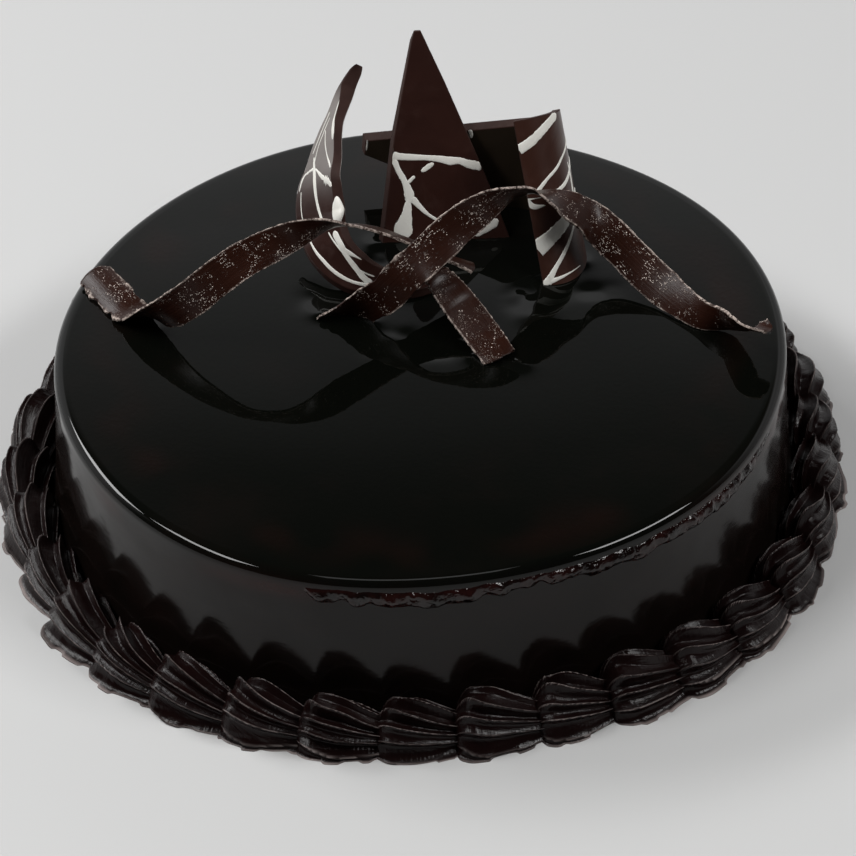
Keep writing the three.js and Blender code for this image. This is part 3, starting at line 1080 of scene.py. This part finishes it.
def frayed(share, side, width, seed):
    """How far the end of a strip is pulled along it, in mm: its corners are round and its edge is torn."""
    start = 1 - smoothstep(0.0, FRAYED_SHARE, share)
    end = 1 - smoothstep(0.0, FRAYED_SHARE, 1 - share)
    torn = FRAYED_ROUND * abs(2 * side / width) ** 3
    torn += FRAYED_RAGGED * ripple(side * 0.5, seed, start * 3.0, 25)
    return torn * (start - end)


def leaf_slant(share, width):
    """Width of the slanted cut along the leaf's right edge."""
    return min(with_changes(LEAF_SLANT, LEAF_SLANT_CHANGES, share), LEAF_SLANT_MOST * width)


def leaf_section(share, width):
    """Section of the leaf: its right edge was cut at a long slant, its left edge at a shorter one."""
    half = PLATE_THICKNESS / 2
    past_tip = max(0.0, (share - LEAF_TIP_FROM) / (1 - LEAF_TIP_FROM))
    width *= math.sqrt(1 - LEAF_TIP_NARROWS * past_tip ** 2)
    slant = leaf_slant(share, width)
    back = with_changes(half, LEAF_BACK_CHANGES, share)
    under = with_changes(LEAF_UNDERCUT, LEAF_UNDERCUT_CHANGES, share)
    edge = width / 2
    front = [(-edge + under, -half), (edge - slant, -half)]
    rear = [(edge, back), (-edge + LEAF_LEFT_SLANT, back), (-edge, -half + under)]
    return rounded_section(rear + front, EDGE_ROUND)


def scuffs_along(base, patches, share):
    """How scuffed a ribbon is at a share of its length."""
    bumps = (amount * math.exp(-((share - middle) / reach) ** 2) for amount, middle, reach in patches)
    return base + sum(bumps)


def make_strip(name, node, guides, section, steps, materials, slot, seed, scuff_and_sheen):
    """A strip swept along its guides. Section and the scuff amount are functions of the share of its length;
    on the leaf the scuff amount is a painted sheen.
    """
    points = []
    places = []
    scuffs = []
    edges = []
    for step in range(steps + 1):
        share = step / steps
        centre, ahead, across, through, width = strip_frame(guides, share)
        outline = section(share, width)
        for side, face in outline:
            pulled = ahead * frayed(share, side, width, seed)
            points.append(on_cake(centre + across * side + through * face + pulled))
            places.append((side / STRIP_PATTERN, share))
            scuffs.append(scuff_and_sheen(share))
            edges.append(smoothstep(width / 2 - EDGE_BAND[0], width / 2 - EDGE_BAND[1], abs(side)))
    around = len(outline)
    faces = ring_faces(steps + 1, around)
    last = steps * around
    faces.append(tuple(reversed(range(around))))
    faces.append(tuple(range(last, last + around)))
    piece = add_mesh(name, points, faces, materials)
    set_uv(piece, places)
    paint(piece, "scuff_and_sheen", scuffs)
    paint(piece, "ribbon_edge", edges)
    finish_piece(piece, slot, node)
    return piece


def make_ribbons(material):
    for seed, (side, guides, steps, base, patches) in enumerate(RIBBONS, 1):
        section = partial(ribbon_section, seed)
        scuff_and_sheen = partial(scuffs_along, base, patches)
        make_strip("curled_ribbon_" + side, "ribbon_" + side, guides, section, steps, [material],
                   "ribbon_chocolate", seed, scuff_and_sheen)


def make_leaf(face_material, edge_material):
    """The leaf, with a pale grey sheen painted on its thin upper part, standing in for the reflection of the
    bright room.
    """
    piece = make_strip("drizzled_leaf_plate", "leaf_plate", LEAF, leaf_section, LEAF_STEPS,
                       [face_material, edge_material], "dark_chocolate", LEAF_SEED,
                       partial(with_changes, 0.0, LEAF_PAINTED_SHEEN_CHANGES))
    around = len(leaf_section(0.5, LEAF[0][-1]))
    for polygon in piece.data.polygons:
        side = polygon.index % around // SIDE_POINTS
        polygon.material_index = int(side in LEAF_CUT_SIDES)


# ---------------------------------------------------------------- standing plates

# Outlines are [x, height] of a plate drawn upright. The insets say how far the front face stays back from
# each corner, where a side was snapped at a slant. Feet are on the cake's top. Angles are in degrees.
TALL_SHARD = {
    "outline": [[0, -3], [35.9, -3], [35.4, 0], [29.6, 17], [19.8, 42], [13.9, 56], [12.2, 56],
                [11, 53.5], [4.9, 28]],
    "insets": [[1.2, 0], [0, 0], [0, 0], [0, 0], [0, 0], [0, 0], [0, 0], [0.4, 0], [0.9, 0]],
    "foot": (-10.8, 44.2, 0),
    "turn": 1.6,
    "lean": 29,
}
REAR_SHARD = {
    "outline": [[0, 10.2], [39, -1], [53, -1], [50, 30.4], [0.4, 15.9]],
    "insets": [[1.4, 0], [0, 0], [0, 0], [0, -1], [1.4, -1]],
    "foot": (-14.6, 70.6, 0),
    "turn": -16.5,
    "lean": 0,
}
# A sheet bent round an axis from foot to tip, between two angles, which goes on down into the cake
STRIPED_PLATE = {
    "foot": (34, 36.1, 0),
    "tip": (28.1, 55.5, 31.9),
    "radius": 9.6,
    "start": -116,
    "end": -12,
    "sunk": 12,
}
BEND_STEPS = 48
RISE_STEPS = 40
# Broken edges are a little soft
SOFT_EDGE = 0.25 * MM
FLAT_PLATE_EDGE = math.radians(40)
BENT_PLATE_EDGE = math.radians(50)


def stand_matrix(shard):
    """Takes a plate drawn upright in X and Z, facing -Y, to its place on the cake, in metres."""
    lean = Matrix.Rotation(math.radians(-shard["lean"]), 4, "X")
    turn = Matrix.Rotation(math.radians(shard["turn"]), 4, "Z")
    return Matrix.Translation(on_cake(Vector(shard["foot"]))) @ turn @ lean @ Matrix.Scale(MM, 4)


def make_flat_plate(name, shard, face_material, edge_material, node):
    """Flat plate with softly broken edges. The front face is set in where a side was snapped at a slant."""
    outline = shard["outline"]
    count = len(outline)
    half = PLATE_THICKNESS / 2
    front = [(x + inset_x, y + inset_y) for (x, y), (inset_x, inset_y) in zip(outline, shard["insets"])]
    points = [Vector((x, -half, y)) for x, y in front] + [Vector((x, half, y)) for x, y in outline]
    faces = [tuple(range(count)), tuple(reversed(range(count, 2 * count)))]
    faces += [(side, side + count, (side + 1) % count + count, (side + 1) % count) for side in range(count)]
    place = stand_matrix(shard)
    piece = add_mesh(name, [place @ point for point in points], faces, [face_material, edge_material])
    for polygon in piece.data.polygons:
        polygon.material_index = 0 if polygon.index < 2 else 1
    soften_edges(piece, FLAT_PLATE_EDGE)
    finish_piece(piece, "dark_chocolate", node)


def soften_edges(piece, sharpest):
    soften = piece.modifiers.new("soften", "BEVEL")
    soften.width = SOFT_EDGE
    soften.segments = 3
    soften.limit_method = "ANGLE"
    soften.angle_limit = sharpest
    soften.harden_normals = True
    soften.material = 1


def striped_axes():
    """The bent plate's foot, three axes and height, in mm."""
    foot = Vector(STRIPED_PLATE["foot"])
    upright = Vector(STRIPED_PLATE["tip"]) - foot
    length = upright.length
    upright.normalize()
    sideways = upright.cross(Vector((0, 0, 1))).normalized()
    return foot, upright, sideways, upright.cross(sideways), length


def striped_place(degrees, rise, proud):
    """Point of the bent plate, in metres, proud of its middle radius."""
    foot, upright, sideways, backwards, _ = striped_axes()
    angle = math.radians(degrees)
    reach = STRIPED_PLATE["radius"] + proud
    outward = sideways * math.cos(angle) + backwards * math.sin(angle)
    return on_cake(foot + outward * reach + upright * rise)


def make_striped_plate(face_material, edge_material):
    """The bent plate: its outer face, its inner face, and the edge all round between their borders."""
    height = striped_axes()[4]
    sunk = STRIPED_PLATE["sunk"]
    bend = STRIPED_PLATE["end"] - STRIPED_PLATE["start"]
    points = []
    for proud in (PLATE_THICKNESS / 2, -PLATE_THICKNESS / 2):
        for step in range(BEND_STEPS + 1):
            degrees = STRIPED_PLATE["start"] + bend * step / BEND_STEPS
            for rung in range(RISE_STEPS + 1):
                points.append(striped_place(degrees, (height + sunk) * rung / RISE_STEPS - sunk, proud))
    row = RISE_STEPS + 1
    inner = (BEND_STEPS + 1) * row
    faces = [(a, d, c, b) for a, b, c, d in sheet_faces(BEND_STEPS, RISE_STEPS)]
    faces += sheet_faces(BEND_STEPS, RISE_STEPS, inner)
    face_count = len(faces)
    border = [step * row for step in range(BEND_STEPS)]
    border += [BEND_STEPS * row + rung for rung in range(RISE_STEPS)]
    border += [step * row + RISE_STEPS for step in range(BEND_STEPS, 0, -1)]
    border += range(RISE_STEPS, 0, -1)
    for here, beside in zip(border, border[1:] + border[:1]):
        faces.append((here, here + inner, beside + inner, beside))
    piece = add_mesh("drizzled_striped_plate", points, faces, [face_material, edge_material])
    for polygon in piece.data.polygons:
        polygon.material_index = 0 if polygon.index < face_count else 1
    soften_edges(piece, BENT_PLATE_EDGE)
    finish_piece(piece, "dark_chocolate", "striped_plate")


# ---------------------------------------------------------------- white chocolate drizzle

# Each stroke lists its centre line as [along, across, width]. On the leaf, along is the share of its
# length; on the bent plate it is the angle round it in degrees. Everything else is in mm.
LEAF_STROKES = [
    [[0.733, -4.1, 0.5], [0.698, -3.4, 1.0], [0.658, -2.3, 1.25], [0.611, -1.2, 1.1],
     [0.571, -0.2, 0.9], [0.50, 1.7, 1.0]],
    [[0.691, -2.7, 0.9], [0.673, -5.3, 0.65], [0.645, -7.2, 0.65], [0.607, -7.6, 0.35]],
    [[0.690, -2.6, 0.5], [0.652, 1.8, 1.25], [0.636, 4.4, 1.4], [0.622, 5.3, 0.9]],
    [[0.607, -6.8, 0.35], [0.575, -6.5, 0.35], [0.50, -5.3, 0.35]],
    [[0.480, -4.2, 0.4], [0.419, -3.3, 0.85], [0.370, -2.7, 1.05], [0.315, -2.5, 1.05],
     [0.263, -2.1, 0.9], [0.20, -1.3, 1.0]],
    [[0.46, 2.7, 0.5], [0.386, 3.1, 0.55], [0.345, 2.9, 0.6]],
    [[0.45, 4.6, 1.9], [0.386, 4.2, 1.7], [0.341, 3.1, 1.5], [0.283, 1.6, 1.5], [0.233, -0.1, 1.7],
     [0.2, -1.0, 1.8]],
    [[0.372, 3.9, 0.85], [0.335, 4.0, 1.2], [0.300, 4.2, 0.6], [0.272, 4.2, 0.2]],
    [[0.280, 1.7, 0.4], [0.241, 1.3, 0.4], [0.200, 1.1, 0.4]],
    [[0.80, -1.6, 0.35], [0.768, -0.4, 0.42], [0.746, 0.9, 0.42], [0.718, 3.0, 0.6], [0.701, 3.9, 0.42]],
    [[0.875, 0.2, 0.4], [0.84, 0.9, 0.5], [0.805, 1.9, 1.3], [0.782, 2.4, 0.5]],
    [[0.84, -2.2, 0.4], [0.79, -3.4, 0.35], [0.74, -4.9, 0.3]],
    [[0.83, -1.2, 0.3], [0.79, -2.3, 0.35], [0.75, -3.3, 0.3], [0.71, -3.6, 0.35]],
]
TALL_STROKES = [
    [[4.6, 23.2, 2.6], [7.2, 22.7, 1.9], [10.3, 22.4, 1.75], [14.0, 22.1, 1.5], [17.7, 21.6, 1.85],
     [20.3, 21.0, 2.3],
     [22.9, 20.9, 1.85], [25.1, 20.0, 2.3], [27.4, 19.4, 2.4], [29.2, 18.9, 2.4], [30.4, 17.3, 0.4]],
    [[5.6, 26.1, 0.4], [5.4, 24.6, 1.1], [5.1, 22.8, 1.3]],
    [[5.4, 22.2, 1.7], [6.6, 18.9, 1.55], [7.8, 16.6, 1.7], [8.7, 14.3, 2.2], [9.2, 12.0, 2.65],
     [9.1, 10.0, 2.0]],
    [[9.0, 15.6, 1.1], [10.0, 16.6, 0.95], [10.8, 17.3, 0.8]],
    [[12.6, 18.5, 0.8], [13.5, 19.0, 1.25], [14.7, 19.8, 1.4], [16.0, 20.6, 0.7]],
    [[9.6, 11.8, 2.1], [11.3, 9.7, 1.65], [13.1, 7.7, 1.1], [14.5, 6.5, 0.9], [16.4, 5.2, 0.7]],
    [[8.9, 11.0, 1.4], [8.2, 6.8, 3.1], [7.2, 3.1, 5.1], [7.0, 0.4, 6.0]],
    [[26.4, 0.6, 1.2], [29.6, 2.8, 2.6], [32.6, 4.6, 2.6]],
]
STRIPED_STROKES = [
    [[-118, 30.0, 2.8], [-113, 30.3, 2.75], [-96, 31.7, 2.55], [-79, 33.7, 2.4], [-61, 35.7, 2.3],
     [-44, 37.2, 2.2]],
    [[-101, 18.2, 1.15], [-98, 18.7, 1.1], [-83, 21.1, 0.9], [-64, 23.4, 0.8], [-48, 25.8, 0.7],
     [-28, 28.2, 0.8], [-13, 30.0, 0.8]],
    [[-80, 17.0, 0.7], [-74, 17.3, 0.9], [-56, 18.5, 1.1], [-38, 20.8, 1.1], [-13, 25.0, 1.2]],
    [[-34, 24.0, 0.5], [-32, 20.5, 0.9], [-34, 15.5, 1.0]],
    [[-117, 18.0, 0.4], [-112, 15.2, 1.5], [-92, 14.4, 0.3]],
    [[-119, 3.2, 4.8], [-113, 3.7, 4.75], [-97, 5.4, 4.1], [-80, 7.4, 3.65], [-60, 9.8, 3.0],
     [-36, 13.2, 2.2], [-13, 16.5, 2.0]],
    [[-110, -6.0, 2.6], [-105, -5.0, 2.0], [-95, -2.6, 1.3], [-78, 0.9, 1.1], [-65, 3.8, 0.9],
     [-50, 7.4, 0.7], [-34, 11.0, 0.8]],
    [[-118, -6.0, 1.9], [-91, -5.2, 0.9], [-73, -4.4, 0.45], [-51, -3.3, 0.3]],
]
REAR_STROKES = [
    [[31.0, 24.0, 0.9], [31.3, 22.6, 1.1], [31.2, 21.2, 0.5]],
    [[2.4, 15.4, 0.35], [2.2, 13.4, 0.5], [2.0, 11.8, 0.3]],
]
DRIZZLE_HEIGHT = 0.2
DRIZZLE_SINK = 0.06
DRIZZLE_ACROSS = 10
DRIZZLE_STEP = 0.35
# Strokes narrower than this, to each side of their middle, are lower too
DRIZZLE_LOW_HALF = 0.4
DRIZZLE_WOBBLE = 0.12
DRIZZLE_FEWEST_STEPS = 8
DRIZZLE_DOME_POWER = 0.6
# How far before and after a share of a stroke its direction is found
DRIZZLE_LOOK = 0.01
# The ends of a stroke are round: they begin with a little stub, and take at least this length
DRIZZLE_STUB = 0.08
DRIZZLE_END = 0.1
# How far to go on a face to find its slopes: across, and along by share or by angle
FACE_NUDGE = 1e-3
SHARE_NUDGE = 0.02 * FACE_NUDGE
# The tall plate's left edge, its right edge up to the height where it bends, and its right edge from there
# on: each as its place across and how far it moves for each mm up
TALL_LEFT = (1.6, 0.155)
TALL_RIGHT = (35.2, -0.34)
TALL_BEND = 17
TALL_RIGHT_ABOVE = (29.4, -0.392)
REAR_EDGES = (1.5, 50.0)
# Drizzle keeps this far in from the edges of the leaf and of the bent plate
LEAF_MARGIN = (0.2, 0.1)
STRIPED_MARGIN_DEGREES = 1.0
STRIPED_MARGIN_TOP = 0.15
# The fat drop runs between these shares of the leaf, this far in from its right edge and its middle face
DRIP_START = 0.598
DRIP_END = 0.462
DRIP_FROM_EDGE = 2.0
DRIP_PROUD = 0.5
DRIP_HALF_WIDTH = 2.1
DRIP_HALF_DEPTH = 0.95
DRIP_RINGS = 20
DRIP_AROUND = 20


def held(value, lowest, highest):
    return max(lowest, min(highest, value))


def leaf_place(share, side, lift):
    """Point of the leaf's outer face, in mm, lifted off it."""
    centre, _, across, through, width = strip_frame(LEAF, held(share, 0.0, 1.0))
    left, right = LEAF_MARGIN
    side = held(side, left - width / 2, width / 2 - leaf_slant(share, width) - right)
    return centre + across * side - through * (PLATE_THICKNESS / 2 + lift) + Vector((0, 0, CAKE_HEIGHT / MM))


def tall_edges(y):
    """The tall plate's left and right edge at a height. The right one bends where the broad foot ends."""
    left, left_slope = TALL_LEFT
    right, right_slope = TALL_RIGHT
    above, above_slope = TALL_RIGHT_ABOVE
    if y < TALL_BEND:
        return left + left_slope * y, right + right_slope * y
    return left + left_slope * y, above + above_slope * (y - TALL_BEND)


def rear_edges(_):
    """The rear plate's left and right edge, which are the same at every height where it has drizzle."""
    return REAR_EDGES


def flat_place(shard, edges):
    """Makes the placing function of a flat plate's front face, held between its left and right edge."""
    matrix = stand_matrix(shard)

    def place(x, y, lift):
        return matrix @ Vector((held(x, *edges(y)), -PLATE_THICKNESS / 2 - lift, y)) / MM

    return place


def striped_face(degrees, rise, lift):
    """Point of the bent plate's outer face, in mm, lifted off it."""
    first = STRIPED_PLATE["start"] + STRIPED_MARGIN_DEGREES
    last = STRIPED_PLATE["end"] - STRIPED_MARGIN_DEGREES
    rise = min(striped_axes()[4] - STRIPED_MARGIN_TOP, rise)
    return striped_place(held(degrees, first, last), rise, PLATE_THICKNESS / 2 + lift) / MM


def stroke_turns(place, along, across, sideways):
    """How far to go along and across in the surface's own units, to go one mm sideways on it."""
    nudge_along = FACE_NUDGE * max(abs(along), 1.0) if place is striped_face else SHARE_NUDGE
    here = place(along, across, 0)
    by_along = (place(along + nudge_along, across, 0) - here) / nudge_along
    by_across = (place(along, across + FACE_NUDGE, 0) - here) / FACE_NUDGE
    slopes = np.array([by_along[:], by_across[:]]).T
    return np.linalg.lstsq(slopes, np.array(sideways[:]), rcond=None)[0]


def add_stroke(guides, place, points, faces):
    """Adds one dome-shaped stroke of drizzle, which follows its surface, to the points and faces."""
    path = [place(along, across, 0) for along, across, _ in guides]
    length = sum((end - start).length for start, end in zip(path, path[1:]))
    steps = max(DRIZZLE_FEWEST_STEPS, int(length / DRIZZLE_STEP))
    faces += sheet_faces(steps, DRIZZLE_ACROSS, len(points))
    for step in range(steps + 1):
        share = step / steps
        along, across, width = (float(value) for value in curve_through(guides, share))
        later = curve_through(guides, min(1.0, share + DRIZZLE_LOOK))
        sooner = curve_through(guides, max(0.0, share - DRIZZLE_LOOK))
        normal = (place(along, across, 1) - place(along, across, 0)).normalized()
        ahead = (place(later[0], later[1], 0) - place(sooner[0], sooner[1], 0)).normalized()
        turns = stroke_turns(place, along, across, normal.cross(ahead).normalized())
        to_end = min(share, 1 - share) * length
        taper = math.sqrt(min(1.0, (to_end + DRIZZLE_STUB) / max(0.5 * width, DRIZZLE_END)))
        wobble = 1 + DRIZZLE_WOBBLE * ripple(along * 3, across * 1.4, width, 31)
        half = 0.5 * width * taper * wobble
        for part in range(DRIZZLE_ACROSS + 1):
            angle = math.pi * part / DRIZZLE_ACROSS
            off = half * math.cos(angle)
            rise = math.sin(angle) ** DRIZZLE_DOME_POWER
            dome = DRIZZLE_HEIGHT * min(1.0, half / DRIZZLE_LOW_HALF) * rise
            points.append(place(along + turns[0] * off, across + turns[1] * off, dome - DRIZZLE_SINK) * MM)


def make_drizzle(name, strokes, place, material):
    points = []
    faces = []
    for guides in strokes:
        add_stroke(guides, place, points, faces)
    piece = add_mesh(name, points, faces, [material])
    finish_piece(piece, "white_chocolate")


def make_drip(material):
    """The fat white drop that ran down the leaf's cut edge."""
    points = []
    for ring in range(DRIP_RINGS + 1):
        share = ring / DRIP_RINGS
        centre, _, across, through, width = strip_frame(LEAF, DRIP_START + (DRIP_END - DRIP_START) * share)
        middle = centre + across * (width / 2 - DRIP_FROM_EDGE) - through * DRIP_PROUD
        girth = math.sin(math.pi * share ** 0.8) ** 0.7
        for side in range(DRIP_AROUND):
            angle = FULL_TURN * side / DRIP_AROUND
            offset = across * math.cos(angle) * DRIP_HALF_WIDTH - through * math.sin(angle) * DRIP_HALF_DEPTH
            points.append(on_cake(middle + offset * girth))
    piece = add_mesh("leaf_white_drip", points, ring_faces(DRIP_RINGS + 1, DRIP_AROUND), [material])
    finish_piece(piece, "white_chocolate")


def make_all_drizzle(material):
    make_drizzle("tall_shard_drizzle", TALL_STROKES, flat_place(TALL_SHARD, tall_edges), material)
    make_drizzle("rear_shard_flecks", REAR_STROKES, flat_place(REAR_SHARD, rear_edges), material)
    make_drizzle("striped_plate_stripes", STRIPED_STROKES, striped_face, material)
    make_drizzle("leaf_drizzle", LEAF_STROKES, leaf_place, material)
    make_drip(material)


# ---------------------------------------------------------------- floor, light and room

FLOOR_HALF = 6.0
SOFTBOX_DISTANCE = 1.6
# Soft lights on a dome round the cake. Azimuth 0 is +X and 90 is +Y: name, azimuth, elevation, width,
# height and power, in degrees, metres and watts
SOFTBOXES = [
    ("low_left_softbox", 148, 40, 0.8, 0.3, 12),
    ("high_left_softbox", 186, 54, 0.8, 0.3, 12),
    ("right_softbox", -18, 48, 0.8, 0.3, 12),
    ("overhead_softbox", -90, 84, 0.7, 0.4, 1.6),
]
# The room's wall, by the direction from the cake: the light comes on towards the back, is stronger at the
# left, gets brighter on its way up, and ends at the top
ROOM_BACK = (-0.1, 0.5)
ROOM_LEFT = (-0.25, 0.3)
ROOM_BRIGHTER = (0.4, 0.6)
ROOM_TOP = (0.565, 0.66)
ROOM_DIM = (0.03, 0.03, 0.03, 1)
ROOM_BRIGHT = (0.78, 0.78, 0.79, 1)


def make_floor(material):
    side = FLOOR_HALF
    points = [(-side, -side, 0), (side, -side, 0), (side, side, 0), (-side, side, 0)]
    floor = add_mesh("floor", points, [(0, 1, 2, 3)], [material])


def make_lights():
    """Each softbox faces the cake."""
    for name, azimuth, elevation, width, height, power in SOFTBOXES:
        data = bpy.data.lights.new(name, "AREA")
        data.shape = "RECTANGLE"
        data.size = width
        data.size_y = height
        data.energy = power
        light = bpy.data.objects.new(name, data)
        flat = math.cos(math.radians(elevation))
        turn = math.radians(azimuth)
        away = Vector((flat * math.cos(turn), flat * math.sin(turn), math.sin(math.radians(elevation))))
        light.location = away * SOFTBOX_DISTANCE + Vector((0, 0, CAKE_HEIGHT))
        light.rotation_euler = away.to_track_quat("Z", "Y").to_euler()
        bpy.context.scene.collection.objects.link(light)


def make_room():
    """A pale room: light behind the cake up to the top of its back wall, and dim above and in front."""
    world = bpy.data.worlds.new("room")
    world.use_nodes = True
    bpy.context.scene.world = world
    finish = Finish(world.node_tree)
    way = finish.place("Generated")
    back = finish.along(way, "Y").between(*ROOM_BACK)
    left = 1 - finish.along(way, "X").between(*ROOM_LEFT)
    under_top = 1 - finish.along(way, "Z").between(*ROOM_TOP)
    rising = 1 + finish.along(way, "Z").between(*ROOM_BRIGHTER) * 0.35
    wall = back * under_top * (0.7 + left * 0.5) * rising
    light = finish.blend(wall, ROOM_DIM, ROOM_BRIGHT)
    background = world.node_tree.nodes["Background"]
    finish.feed(background.inputs["Color"], light)
    background.inputs["Strength"].default_value = 1.0


# ---------------------------------------------------------------- assembly

make_camera()
make_room()
make_lights()
make_floor(pale_floor())

dark_sheet = sheet_chocolate("dark_chocolate", colour(36, 18, 14), colour(54, 29, 23))
# The bent plate gets a lighter, browner copy of the dark sheet: partly its own tone, partly a painted sheen
sheen_lightened_sheet = sheet_chocolate("sheen_lightened_chocolate", colour(45, 24, 18), colour(66, 39, 30))
snapped = cut_chocolate()

make_cake(mirror_glaze())
make_lip(glaze_lip())
make_border(piped_ganache())
make_ribbons(ribbon_chocolate())
make_leaf(dark_sheet, snapped)
make_flat_plate("drizzled_tall_shard", TALL_SHARD, dark_sheet, snapped, "tall_shard")
# The rear plate's chocolate is a copy toned to its look in shade: painted light
make_flat_plate("dark_rear_shard", REAR_SHARD, shade_tuned_chocolate(), snapped, "rear_shard")
make_striped_plate(sheen_lightened_sheet, snapped)
make_all_drizzle(white_chocolate())

bpy.context.scene.view_settings.view_transform = "Standard"
